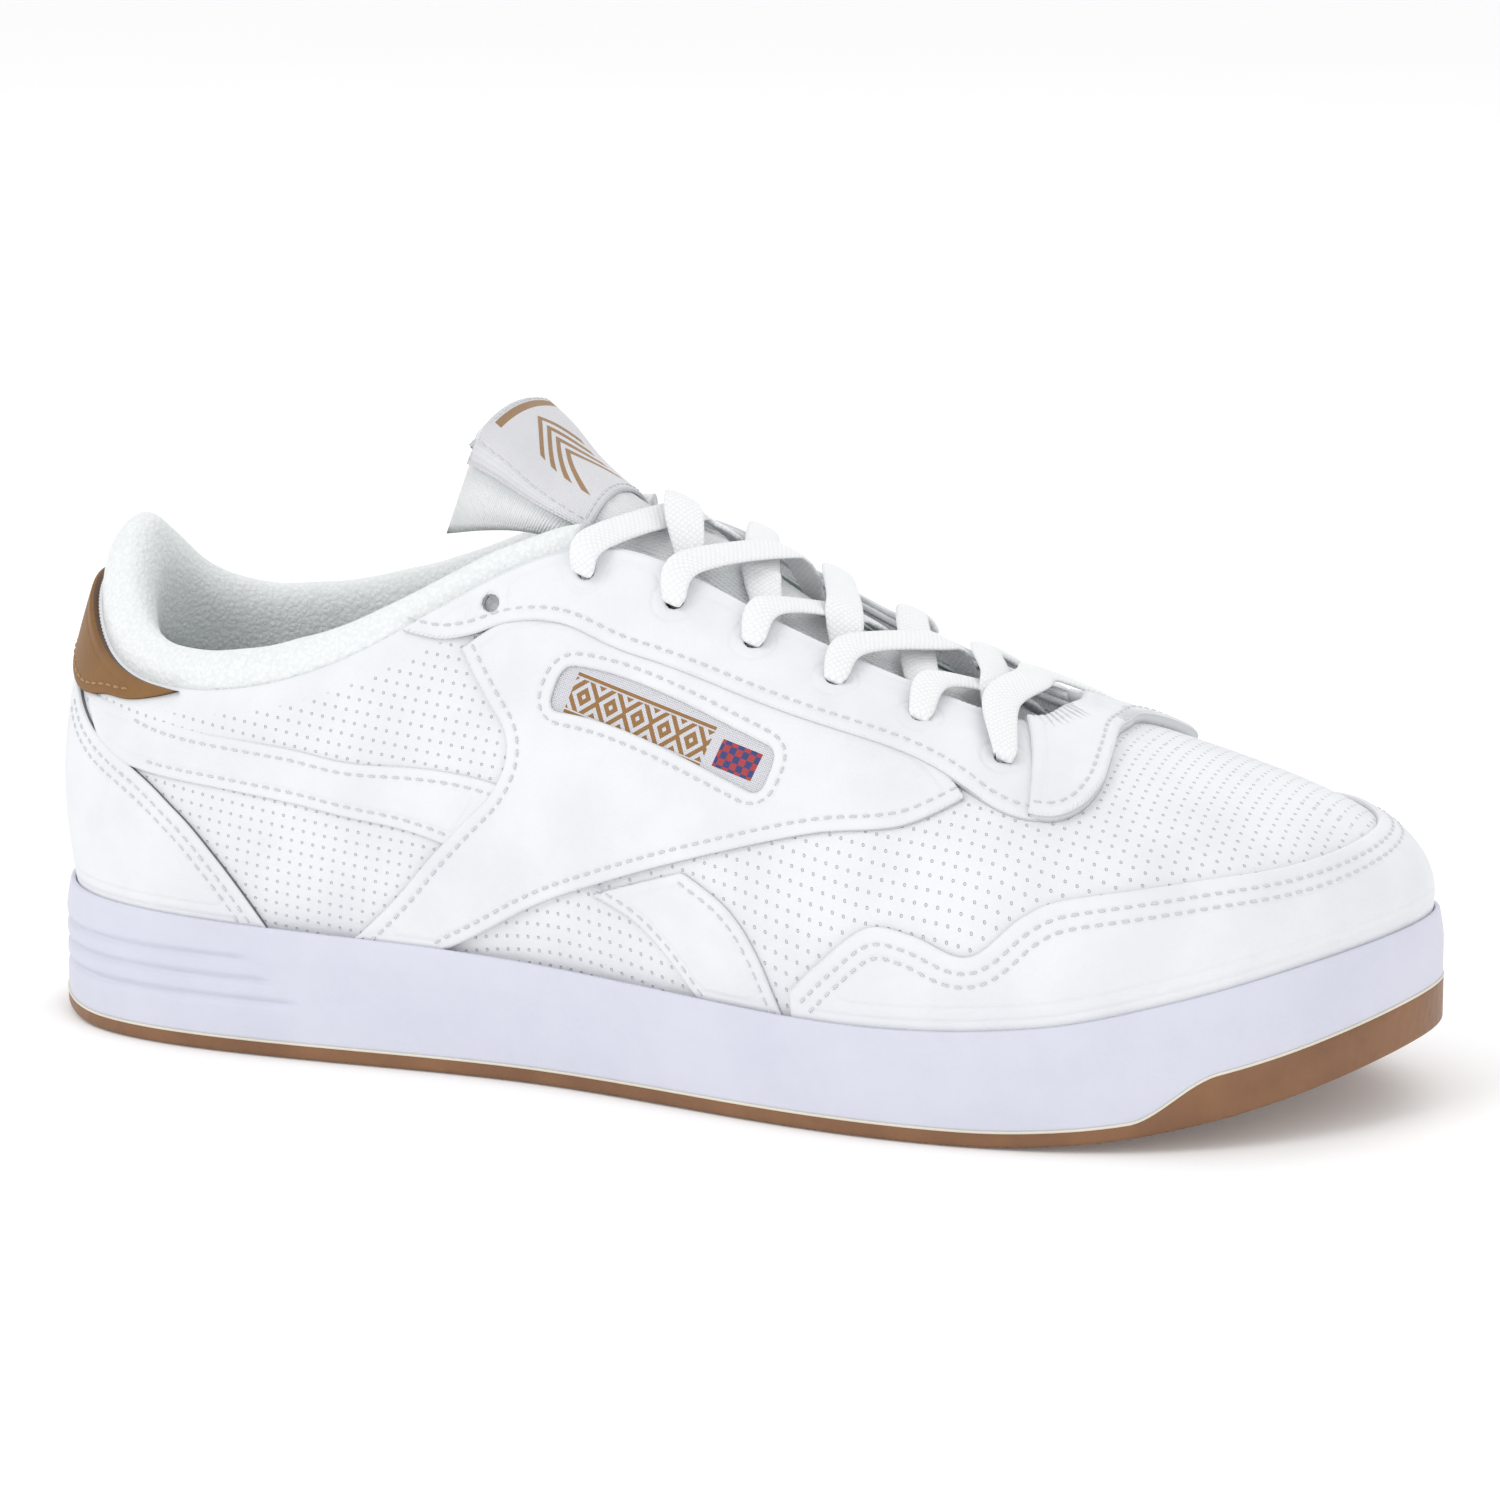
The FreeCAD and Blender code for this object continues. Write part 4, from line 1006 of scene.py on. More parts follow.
def make_floor():
    bpy.ops.object.select_all(action="DESELECT")
    bpy.ops.mesh.primitive_plane_add(size=9.0, location=(0.0, 0.0, -0.0002))
    floor = bpy.context.active_object
    floor.name = "floor"
    material, tree, shader = new_material("pale_floor")
    speck = put(tree, "ShaderNodeTexNoise", {"Vector": object_point(tree), "Scale": 4.0}).outputs["Fac"]
    colour = blend_colour(tree, speck, (0.955, 0.955, 0.955), (0.975, 0.975, 0.975))
    surface(tree, shader, colour, 0.9, speck, 0.00001, Emission_Color=(1.0, 1.0, 1.0, 1.0),
            Emission_Strength=FLOOR_GLOW)
    floor.data.materials.append(material)


# ---------------------------------------------------------------- stitching

STITCH_RINGS = ((-0.62, 0.8), (0.0, 1.0), (0.62, 0.8))
STITCH_SIDES = 6


def needle_holes(row, pitch):
    """Places and normals at even steps along a seam of (place, normal)."""
    run = [0.0]
    for (a, _), (b, _) in zip(row, row[1:]):
        run.append(run[-1] + (b - a).length)
    count = int(run[-1] / pitch)
    if count < 1:
        return []
    k = 0
    marks = []
    for i in range(count + 1):
        want = run[-1] * i / count
        while k < len(run) - 2 and run[k + 1] < want:
            k += 1
        t = (want - run[k]) / max(run[k + 1] - run[k], 1e-9)
        marks.append((row[k][0].lerp(row[k + 1][0], t), row[k][1].lerp(row[k + 1][1], t)))
    return marks


def add_stitch(points, faces, start, stop, wide, tall):
    """One plump stitch between two needle holes, with its ends pulled into the leather."""
    a, b = start[0], stop[0]
    n = (start[1] + stop[1]).normalized()
    half = (b - a).length * 0.40
    ahead = (b - a).normalized()
    across = n.cross(ahead)
    centre = (a + b) / 2
    first = len(points)
    points.append(centre - ahead * half - n * 0.22)
    for place, size in STITCH_RINGS:
        for j in range(STITCH_SIDES):
            angle = 2 * math.pi * j / STITCH_SIDES
            points.append(centre + ahead * half * place + across * (math.cos(angle) * wide / 2 * size)
                          + n * (math.sin(angle) * tall / 2 * size + 0.06))
    points.append(centre + ahead * half - n * 0.22)
    end = len(points) - 1
    for j in range(STITCH_SIDES):
        after = (j + 1) % STITCH_SIDES
        faces.append((first, first + 1 + after, first + 1 + j))
        for ring in range(2):
            low = first + 1 + ring * STITCH_SIDES
            faces.append((low + j, low + after, low + STITCH_SIDES + after, low + STITCH_SIDES + j))
        last = first + 1 + 2 * STITCH_SIDES
        faces.append((end, last + j, last + after))


def stitch_mesh(name, rows, body, slot, material, pitch=2.6, wide=0.62, tall=0.46):
    """One mesh of separate stitches.  rows lists seams, each a list of (place, normal)."""
    points = []
    faces = []
    for row in rows:
        marks = needle_holes(row, pitch)
        for start, stop in zip(marks, marks[1:]):
            add_stitch(points, faces, start, stop, wide, tall)
    obj = new_object(name, points, faces)
    return finish_piece(obj, body, slot, material=MATERIALS[material])


def seam_row(line, distance, top):
    """Places and normals of a stitch row beside a seam, positive to its left."""
    made = []
    for u, v in inset(resample(line, 1.3), distance):
        place, n, _, _ = skin_frame(u, v)
        made.append((place + n * level_at(top, u, v), n))
    return made


# ---------------------------------------------------------------- upper: base panels

def planar_cut(place):
    """Flat cut of the quarter, turned so that the dot rows follow the foxing line."""
    turn = math.radians(8)
    return (place.x * math.cos(turn) - place.z * math.sin(turn),
            place.x * math.sin(turn) + place.z * math.cos(turn))


RIDGE = [(-150, 90), (-60, 104), (-23, 108), (14, 97), (47, 83), (72, 78), (83, 73), (95, 70), (106, 68),
         (117, 65.6), (124, 64.4), (135, 60), (140, 56), (147, 49)]


def vamp_cut(place):
    """Flat cut of the vamp: length, and signed distance from the ridge."""
    away = math.hypot(place.y, place.z - height(RIDGE, place.x))
    return place.x, math.copysign(away, place.y)


def circle(u, v, radius, count=18):
    """Round outline on the leather."""
    _, n, pu, pv = skin_frame(u, v)
    first = pu.normalized()
    second = n.cross(first)
    made = []
    for k in range(count):
        angle = 2 * math.pi * k / count
        way = first * (math.cos(angle) * radius) + second * (math.sin(angle) * radius)
        du, dv = step_on_skin(way, pu, pv)
        made.append((u + du, v + dv))
    return made


def eyelet_holes(side, first=0, last=7):
    return [circle(on_side(side, u), v, EYELET_RADIUS) for u, v in EYELETS[first:last]]


QUARTER_FOOT = 3.22
QUARTER_HEAD = 6.12


def collar_puff(u, v):
    """The quarter swells over the collar padding, below the top line."""
    far = min(abs(u), TURN - abs(u))
    along_collar = smoothstep((3.3 - far) / 1.1)
    return 1.2 * along_collar * math.exp(-((v - 0.90) / 0.11) ** 2)


def quarter(name, side):
    low = [(0.02, -0.03), (1.0, -0.03), (2.1, -0.03), (QUARTER_FOOT, -0.03)]
    high = [(0.02, 1.0), (2.0, 1.0), (4.0, 1.0), (QUARTER_HEAD, 1.0)]
    loop = smooth(low) + smooth(high)[::-1]
    obj = cut_panel("quarter_" + name, sided(side, loop), -LEATHER, collar_puff,
                    holes=eyelet_holes(side, 0, 6), spacing=2.0, uv_rule=planar_cut)
    finish_piece(obj, "shell", "white_leather", "quarter_" + name, "quarter_padding_" + name,
                 material=MATERIALS["quarter"])


def vamp():
    low = level_line(-0.03, QUARTER_FOOT + 0.03, TURN - 2 * QUARTER_FOOT - 0.06, 8)
    high = level_line(1.0, QUARTER_HEAD + 0.03, TURN - 2 * QUARTER_HEAD - 0.06, 8)
    loop = smooth(low) + smooth(high)[::-1]
    holes = [h for side in (-1, 1) for h in eyelet_holes(side, 2, 7) if vamp_holds(h, side)]
    obj = cut_panel("vamp", loop, -LEATHER, 0.0, holes=holes, spacing=1.9, uv_rule=vamp_cut)
    finish_piece(obj, "shell", "white_leather", "vamp", "vamp_padding", material=MATERIALS["vamp"])


def vamp_holds(hole, side):
    """True where an eyelet lies forward of the quarter's edge."""
    u, v = hole[0]
    u = on_side(side, u)
    return u > QUARTER_FOOT + (QUARTER_HEAD - QUARTER_FOOT) * (v + 0.03) / 1.03 + 0.12


def lining(name, loop, *nodes):
    obj = cut_panel(name, loop, LINING_IN, LINING_OUT, spacing=3.4)
    finish_piece(obj, "shell", "lining_fabric", *nodes, material=MATERIALS["lining"])


def box_loop(u0, u1, v0, v1):
    return level_line(v0, u0, u1 - u0, 8) + level_line(v1, u0, u1 - u0, 8)[::-1]


# ---------------------------------------------------------------- upper: overlays

# levels of the overlays' faces over the base leather
OVERLAY = 1.35
TAB = 2.3
BAND = 0.95
SUPPORT = 1.1
SADDLE_SIDE = 1.45
STAY_SIDE = 2.45
FRONT_STAY = 2.7
SIDE_LABEL = 0.45
OVERLAY_FOOT = -0.012
OVERLAY_HEAD = 0.993
WINDOW_CORNER = 3.0
LABEL_OUTLINE = [(3.93, 0.585), (5.33, 0.470), (5.40, 0.630), (3.98, 0.730)]


def stay_top(u, v):
    """The eyestay rides over the saddle, and lies on the base leather near the throat."""
    far = min(u, TURN - u)
    over = smoothstep((0.90 - v) / 0.07) * smoothstep((far - 3.30) / 0.2) * smoothstep((6.62 - far) / 0.2)
    return OVERLAY + (STAY_SIDE - OVERLAY) * over


def overlay(name, loop, top, node, material="white", slot="white_leather", **options):
    obj = cut_panel(name, loop, 0.0, top, **options)
    finish_piece(obj, "shell", slot, node, material=MATERIALS[material])


def round_corners(quad, radius):
    """(u, v) outline through four corners, each rounded by a radius in millimetres."""
    flat = [Vector((u * ACROSS, v * UPWARD)) for u, v in quad]
    made = []
    for k, corner in enumerate(flat):
        before = flat[k - 1]
        after = flat[(k + 1) % len(flat)]
        start = corner + (before - corner).normalized() * radius
        end = corner + (after - corner).normalized() * radius
        for i in range(7):
            t = i / 6
            point = start * (1 - t) ** 2 + corner * (2 * t * (1 - t)) + end * t ** 2
            made.append((point.x / ACROSS, point.y / UPWARD))
    return made


def window_frame():
    """Corner of the window and its two directions."""
    corners = [skin(u, v, 0.0) for u, v in WINDOW]
    first = (corners[1] - corners[0]).normalized()
    second = corners[3] - corners[0]
    second = (second - first * second.dot(first)).normalized()
    return corners[0], first, second


def label_cut(place):
    corner, first, second = window_frame()
    return (place - corner).dot(first), (place - corner).dot(second)


def saddle_loop():
    return smooth(SADDLE_TOP) + smooth(SADDLE_FRONT)[1:] + smooth(SADDLE_REAR)[::-1][:-1]


def end_overlays():
    """Mudguard over the toe, overlay round the heel and brown tab on top of it."""
    foot = level_line(OVERLAY_FOOT, 12.5, -7.0, 60)
    overlay("mudguard", smooth(MUDGUARD_TOP) + foot, OVERLAY, "mudguard", "white_double")
    counter = smooth(COUNTER_FRONT)
    back = [(0.75 - 1.5 * k / 16, 0.74 + 0.012 * math.sin(math.pi * k / 16)) for k in range(1, 16)]
    foot = level_line(OVERLAY_FOOT, -2.47, 4.94, 40)[1:-1]
    overlay("heel_overlay", counter + back + [(-u, v) for u, v in counter[::-1]] + foot, OVERLAY,
            "heel_overlay", "white_grey_edge")
    head = level_line(0.992, -1.86, 3.72, 24)[1:-1]
    overlay("heel_tab", smooth(TAB_LOW) + head, TAB, "heel_tab", "brown", "brown_leather")


def side_overlays(side, name):
    """Rear band, saddle, forefoot support and eyestay of one side."""
    band = smooth([(0.85, 0.80)] + BAND_TOP) + smooth([(1.30, 0.62)] + BAND_LOW)[::-1]
    overlay("rear_band_" + name, sided(side, band), BAND, "rear_band_" + name)
    holes = [round_corners(WINDOW, WINDOW_CORNER)] if side < 0 else []
    overlay("saddle_" + name, sided(side, saddle_loop()), SADDLE_SIDE, "saddle_" + name, holes=holes)
    support = smooth(SUPPORT_REAR)[::-1] + smooth(SUPPORT_FRONT)
    overlay("forefoot_support_" + name, sided(side, support), SUPPORT, "forefoot_support_" + name)
    stay = smooth(STAY_EDGE) + level_line(OVERLAY_HEAD, 7.10, -3.9, 60)
    overlay("eyestay_" + name, sided(side, stay), stay_top, "eyestay_" + name, holes=eyelet_holes(side))


def front_overlays():
    """Front stay across the throat, and the woven label in the saddle's window."""
    front = smooth(FRONT_STAY_EDGE) + level_line(OVERLAY_HEAD, 11.0, -4.0, 24)
    overlay("front_stay", front, FRONT_STAY, "front_stay")
    overlay("side_label", round_corners(LABEL_OUTLINE, 1.0), SIDE_LABEL, "side_label", "side_label",
            "woven_label", uv_rule=label_cut)


# seam, distance of its stitches to its left on the lateral side, and level
SIDE_SEAMS = ((COUNTER_FRONT, 2.4, OVERLAY), (COUNTER_FRONT, 4.6, OVERLAY), (BAND_TOP, -2.2, BAND),
              (BAND_LOW, 2.2, BAND), (SADDLE_REAR, 2.6, SADDLE_SIDE), (SADDLE_FRONT, -2.6, SADDLE_SIDE),
              (STAY_EDGE, 2.7, stay_top), (SUPPORT_REAR, 2.0, SUPPORT), (SUPPORT_FRONT, -2.0, SUPPORT))


def stitch_upper():
    window = round_corners(WINDOW, WINDOW_CORNER)
    rows = [seam_row(window + window[:1], -2.5, SADDLE_SIDE), seam_row(smooth(MUDGUARD_TOP), -3.2, OVERLAY),
            seam_row(smooth(MUDGUARD_TOP), -5.8, OVERLAY), seam_row(smooth(FRONT_STAY_EDGE), 2.7, FRONT_STAY)]
    for side in (-1, 1):
        for line, distance, top in SIDE_SEAMS:
            rows.append(seam_row(sided(side, smooth(line)), -side * distance, top))
    stitch_mesh("upper_stitching", rows, "shell", "white_leather", "white_thread")
    stitch_mesh("tab_stitching", [seam_row(smooth(TAB_LOW)[12:-12], -2.0, TAB)], "shell", "brown_leather",
                "brown_thread")


# ---------------------------------------------------------------- sole

GUM = 3.2
BUMPER_HEIGHT = 9.5
BUMPER_WALL = 2.6
CUP_WALL = 3.6
CUP_FLOOR = 2.6
LASTING = 10.0
SHOULDER = 6.4
GROOVES = ((11.5, -77), (15.9, -83), (20.3, -88))


def gum_line(x):
    """Height of the joint between the white cup and the gum rubber."""
    return ground(x) + GUM + (BUMPER_HEIGHT - GUM) * smoothstep((x - 101) / 15)


def cup_offset(x, z, top):
    """How far the cup's wall stands out at a height."""
    depth = top - z
    out = CUP_WALL - 1.0 * max(0.0, 1 - depth / SHOULDER) ** 1.4
    for level, reach in GROOVES:
        fade = smoothstep((reach - x) / 5)
        out -= 1.0 * fade * math.exp(-((z - level) / 0.72) ** 2)
    return out


def cup_profile(x):
    low = gum_line(x) + 0.1
    top = lip(x)
    floor = ground(x) + GUM + CUP_FLOOR
    line = [(0.1, floor), (0.1, top - LASTING), (0.5, top - 4.5), (1.45, top - 3.0), (1.5, top - 0.5),
            (1.62, top - 0.15), (1.95, top)]
    line += [(2.25, top), (2.5, top - 0.12)]
    count = 46
    for k in range(count + 1):
        z = top - 0.4 - (top - 0.4 - low - 0.25) * k / count
        line.append((cup_offset(x, z, top), z))
    line += [(CUP_WALL - 0.2, low + 0.03), (CUP_WALL - BUMPER_WALL - 0.1, low),
             (CUP_WALL - BUMPER_WALL - 0.1, ground(x) + GUM + 0.1)]
    return line


def gum_profile(x):
    low = ground(x)
    top = gum_line(x)
    inner = CUP_WALL - BUMPER_WALL
    line = [(inner, low + GUM), (inner, max(top - 0.25, low + GUM)), (inner + 0.2, top),
            (CUP_WALL - 0.3, top), (CUP_WALL + 0.05, top - 0.1), (CUP_WALL + 0.15, top - 0.4)]
    for k in range(1, 9):
        line.append((CUP_WALL + 0.15, top - 0.4 - (top - 0.4 - low - 1.0) * k / 8))
    for k in range(1, 5):
        angle = math.pi / 2 * k / 4
        line.append((CUP_WALL + 0.15 - 1.0 * (1 - math.cos(angle)), low + 1.0 - 1.0 * math.sin(angle)))
    return line


def ring_body(name, profile, columns=600):
    """Closed body whose profile runs round the feather line, with ties across its two open ends."""
    points = []
    for i in range(columns):
        u = TURN * i / columns
        x = feather(u).x
        for offset, z in profile(x):
            place = feather(u, offset)
            points.append((place.x, place.y, z))
    rows = len(points) // columns
    faces = grid_faces(columns, rows, close_rows=True, flip=True)
    for end in (0, rows - 1):
        for i in range(1, columns // 2):
            a, b = i * rows + end, (i + 1) * rows + end
            c, d = (columns - i - 1) * rows + end, (columns - i) % columns * rows + end
            face = (a, b, c, d) if i + 1 < columns // 2 else (a, b, d)
            faces.append(face[::-1] if end else face)
        tip = (end, rows + end, (columns - 1) * rows + end)
        faces.append(tip[::-1] if end else tip)
    obj = new_object(name, points, faces)
    tidy_normals(obj)
    return obj


def tidy_normals(obj):
    made = bmesh.new()
    made.from_mesh(obj.data)
    bmesh.ops.remove_doubles(made, verts=made.verts, dist=0.000001)
    bmesh.ops.recalc_face_normals(made, faces=made.faces)
    made.to_mesh(obj.data)
    made.free()
    obj.data.update()


def sole_line():
    """Fine cream bead along the joint between cup and gum."""
    points = []
    columns, sides = 600, 6
    for i in range(columns):
        u = TURN * i / columns
        z = gum_line(feather(u).x) + 0.05
        for j in range(sides):
            angle = 2 * math.pi * j / sides
            place = feather(u, CUP_WALL + 0.06 + 0.26 * math.cos(angle))
            points.append((place.x, place.y, z + 0.30 * math.sin(angle)))
    obj = new_object("sole_line", points, grid_faces(columns, sides, True, True))
    tidy_normals(obj)
    finish_piece(obj, "shell", "white_rubber", material=MATERIALS["cream"])


def make_sole():
    cup = ring_body("cupsole", cup_profile)
    finish_piece(cup, "shell", "white_rubber", "cupsole", material=MATERIALS["cup"])
    gum = ring_body("outsole", gum_profile)
    finish_piece(gum, "shell", "gum_rubber", "outsole", material=MATERIALS["gum"])
    sole_line()


# ---------------------------------------------------------------- sockliner

SOCK_REST = 8.5
SOCK_FOAM = 3.6
SOCK_CLOTH = 0.8
SOCK_END = 0.12
SOCK_CLEAR = 1.4


def sock_layer(name, low, high, node, slot, material):
    """Cupped layer inside the lining: its rim stands a little above its middle."""
    columns, across = 120, 14
    points = []
    for level in (high, low):
        for i in range(columns + 1):
            u = SOCK_END + (TURN / 2 - 2 * SOCK_END) * i / columns
            a = feather(u, LINING_IN - SOCK_CLEAR)
            b = feather(TURN - u, LINING_IN - SOCK_CLEAR)
            for j in range(across + 1):
                t = j / across
                place = a.lerp(b, t)
                rim = (1 - (2 * t - 1) ** 4) * math.sin(math.pi * min(1.0, i / 6, (columns - i) / 6) / 2)
                dip = rim if level == high else 0.0
                points.append((place.x, place.y, lip(place.x) - SOCK_REST + level - dip * (SOCK_CLOTH * 0.5)))
    obj = closed_sheet(name, points, columns, across)
    finish_piece(obj, "sockliner", slot, node, material=MATERIALS[material])


# ---------------------------------------------------------------- collar

ROLL_RISE = 7.4
ROLL_DEPTH = 9.5
ROLL_DEPTH_FRONT = 5.5
HEEL_RISE = 4.8
HEEL_DEPTH = 3.0
ROLL_FOOT = 0.60
COLLAR_END = 4.00
PADDING_WRINKLE = 11.0
WRINKLE_SEED = 7


def at_heel(u):
    return max(0.0, 1 - (u / 1.7) ** 2) ** 2


def roll_depth(u):
    share = min(max((abs(u) - 2.6) / 0.9, 0.0), 1.0)
    return ROLL_DEPTH + (ROLL_DEPTH_FRONT - ROLL_DEPTH) * share + HEEL_DEPTH * at_heel(u)


def roll_rise(u):
    share = min(max((abs(u) - 2.6) / 1.5, 0.0), 1.0)
    return ROLL_RISE * (1 - 0.45 * share) + HEEL_RISE * at_heel(u)


def roll_path(u):
    """Points of the padded collar from behind the leather, over the crest and down inside."""
    depth = roll_depth(u)
    rise = roll_rise(u)
    top = skin(u, 1.0, 0.0)
    n = wall(SAMPLES, u)[4].normalized()

    def above(share, lift):
        reach = BACKING - (depth - LEATHER) * share
        return top + n * reach + Vector((0, 0, lift * rise))

    inner = -(depth + 0.8)
    return [skin(u, 0.95, BACKING), above(-0.10, 0.35), above(0.15, 0.80), above(0.50, 1.0),
            above(0.85, 0.72), above(1.0, 0.1), skin(u, 0.90, inner), skin(u, 0.80, inner * 0.95),
            skin(u, 0.70, 0.6 * inner + 0.4 * (LINING_IN - GAP)), skin(u, ROLL_FOOT, LINING_IN - GAP)]


def make_collar():
    """Terry roll with its foam: one closed pad from the quarter's edge to the foot of the roll."""
    noise.seed_set(WRINKLE_SEED)
    rows, columns = 220, 40
    face = []
    back = []
    for i in range(rows + 1):
        u = -COLLAR_END + 2 * COLLAR_END * i / rows
        path = roll_path(u)
        for j in range(columns + 1):
            t = j / columns
            place = Vector(along(path, t))
            face.append(place + noise.noise_vector(place / PADDING_WRINKLE) * (0.45 * math.sin(math.pi * t)))
            back.append(skin(u, 0.93 - 0.31 * t, BACKING - GAP))
    obj = closed_sheet("collar_roll", face + back, rows, columns, flip=True)
    finish_piece(obj, "shell", "terry", "collar_lining", "collar_foam", material=MATERIALS["terry"])


# ---------------------------------------------------------------- tongue

LACE_WIDTH = 8.0
LACE_THICK = 1.2
LACE_ROOM = LACE_THICK + 2 * MOVING_GAP
TONGUE_CROWN = 0.40
TONGUE_TIP_DROP = 4.0
TONGUE_DEPTH = 7.0
WING_POWER = 14
WING_BACK = 0.35
TIP_ROUND = 0.045
TONGUE_HALF = 20.0
TONGUE_LENGTH = 165.0


def tongue_rows():
    rows = []
    for u in (7.0, 6.4, 5.8, 5.2, 4.6, 4.15):
        edge = skin(u, 1.0, LINING_IN - LACE_ROOM)
        half = abs(edge.y) - MOVING_GAP
        rows.append((edge.x, edge.z + TONGUE_CROWN * half, half, TONGUE_CROWN * half, 0.0))
    tip = skin(4.0, 1.0, 0.0)
    for back, up, half, wing in ((9, 12.5, 20.2, 7.0), (17, 20.5, 22.0, 15.0), (23, 25.5, 22.4, 21.0)):
        rows.append((tip.x - back, tip.z + up, half, TONGUE_TIP_DROP, wing))
    return rows


TONGUE_ROWS = tongue_rows()


def tongue_row(place):
    """Centre x, height, half width, crown drop and wing drop of the tongue, from its root at 0 to 1."""
    return along(TONGUE_ROWS, place)


def tongue_normal(place):
    before = tongue_row(max(place - 0.02, 0.0))
    after = tongue_row(min(place + 0.02, 1.0))
    normal = Vector((before[1] - after[1], 0.0, after[0] - before[0])).normalized()
    return normal if normal.z > 0 else -normal


def tongue_skin(place, across):
    """Point on the top face; the sides of the tip droop like wings into the collar."""
    x, z, half, drop, wing = tongue_row(place)
    droop = wing * abs(across) ** WING_POWER
    return Vector((x - WING_BACK * droop, half * across, z - drop * across ** 2 - droop))


def tongue_point(place, across, depth):
    along_it = tongue_skin(min(place + 0.01, 1.0), across) - tongue_skin(max(place - 0.01, 0.0), across)
    across_it = tongue_skin(place, across + 0.01) - tongue_skin(place, across - 0.01)
    normal = across_it.cross(along_it).normalized()
    if normal.z < 0:
        normal = -normal
    return tongue_skin(place, across) - normal * depth


def tongue_body(name, upper, lower, margin, nodes, slot, material, puff=0.0):
    """Padded layer of the tongue with rolled edges, between two depths."""
    rows, sides = 90, 36
    points = []
    flat = []
    for i in range(rows + 1):
        place = i / rows
        near_tip = max(0.0, (place - (1 - TIP_ROUND)) / TIP_ROUND)
        shrink = math.sqrt(max(1 - near_tip ** 2, 0.0))
        shrink = max(shrink, 0.12)
        half_depth = (lower - upper) / 2
        for j in range(sides):
            angle = 2 * math.pi * j / sides
            c, s = math.cos(angle), math.sin(angle)
            across = math.copysign(abs(c) ** 0.55, c) * margin
            depth = (upper + lower) / 2 - math.copysign(abs(s) ** 0.6, s) * half_depth * shrink
            pillow = puff * max(0.0, 1 - across ** 2) * (1 if s > 0 else -0.4)
            pillow *= smoothstep((place - 0.6) / 0.2)
            points.append(tongue_point(place, across, depth - pillow * shrink))
            flat.append((across * TONGUE_HALF, place * TONGUE_LENGTH))
    obj = closed_tube(name, points, rows, sides, flat)
    finish_piece(obj, "tongue", slot, *nodes, material=MATERIALS[material])
    return obj


# reach forward, sink and place along the tongue of each row of the root
ROOT_ROWS = ((0.0, 0.0, 0.06), (0.0, 0.0, 0.01), (5.0, 1.6, 0.0), (11.0, 5.2, 0.0))
ROOT_HALF = 0.98


def tongue_root():
    """Sewn root of the tongue, which runs forward under the front stay."""
    points = []
    columns = 12
    for depth in (1.6, 2.6):
        for reach, sink, place in ROOT_ROWS:
            for j in range(columns + 1):
                across = -ROOT_HALF + 2 * ROOT_HALF * j / columns
                points.append(tongue_point(place, across, depth) + Vector((reach, 0.0, -sink)))
    obj = closed_sheet("tongue_root", points, len(ROOT_ROWS) - 1, columns)
    finish_piece(obj, "shell", "tongue_knit", material=MATERIALS["lining"])


LABEL_ENDS = (0.665, 0.985)
LABEL_HALF = 0.92


def label_place(s):
    return LABEL_ENDS[0] + (LABEL_ENDS[1] - LABEL_ENDS[0]) * s


def label_point(s, t, depth):
    """Point of the tongue label: s along it, t from -1 to 1 across it."""
    return tongue_point(label_place(s), LABEL_HALF * t, depth)


def make_tongue_label():
    rows, columns = 40, 40
    points = []
    flat = []
    for depth in (-1.15, -0.25):
        for i in range(rows + 1):
            for j in range(columns + 1):
                s, t = i / rows, -1 + 2 * j / columns
                edge = min(s, 1 - s, (1 - abs(t)) / 2) * 40
                soft = 0.35 * math.exp(-edge / 0.8) if depth < -1 else 0.0
                points.append(label_point(s, t, depth + soft))
                flat.append((t * 20.5, s * 31.0))
    obj = closed_sheet("tongue_label", points, rows, columns, uv=flat)
    finish_piece(obj, "tongue", "woven_label", "tongue_label", material=MATERIALS["tongue_label"])


def stitch_tongue_label():
    """Stitches round the label, just inside its edge."""
    inner = 0.93
    corners = [(0.04, -inner), (0.04, inner), (0.96, inner), (0.96, -inner), (0.04, -inner)]
    rows = []
    for (s0, t0), (s1, t1) in zip(corners, corners[1:]):
        line = []
        for k in range(21):
            s, t = s0 + (s1 - s0) * k / 20, t0 + (t1 - t0) * k / 20
            line.append((label_point(s, t, -1.12), tongue_normal(label_place(s))))
        rows.append(line)
    stitch_mesh("label_stitching", rows, "tongue", "woven_label", "white_thread",
                pitch=2.2, wide=0.5, tall=0.36)


# ---------------------------------------------------------------- lace

UNDER = LINING_IN - MOVING_GAP - LACE_THICK / 2
BUNCHED = 3.0
BAR_LEVEL = 7.4
EDGE_LEVEL = 1.9
CROSSING_LEVELS = (2.1, 5.0)
DIVE_LEVELS = (2.0, 5.3)
THROAT_DIRECTION = Vector((0.92, 0.0, -0.39)).normalized()


def eyelet(index, side, offset):
    u, v = EYELETS[index]
    return skin(on_side(side, u), v, offset)


def throat(u, side, offset, lift=0.0):
    return skin(on_side(side, u), 1.0, offset) + Vector((0, 0, lift))


def over_tongue(u, share, level):
    """Point above the tongue abreast of the throat edge at u; share runs from -1 to 1 across it."""
    x = skin(u, 1.0, 0.0).x
    low, high = 0.0, 1.0
    for _ in range(30):
        place = (low + high) / 2
        if tongue_row(place)[0] > x:
            low = place
        else:
            high = place
    return tongue_point(low, share, -level)


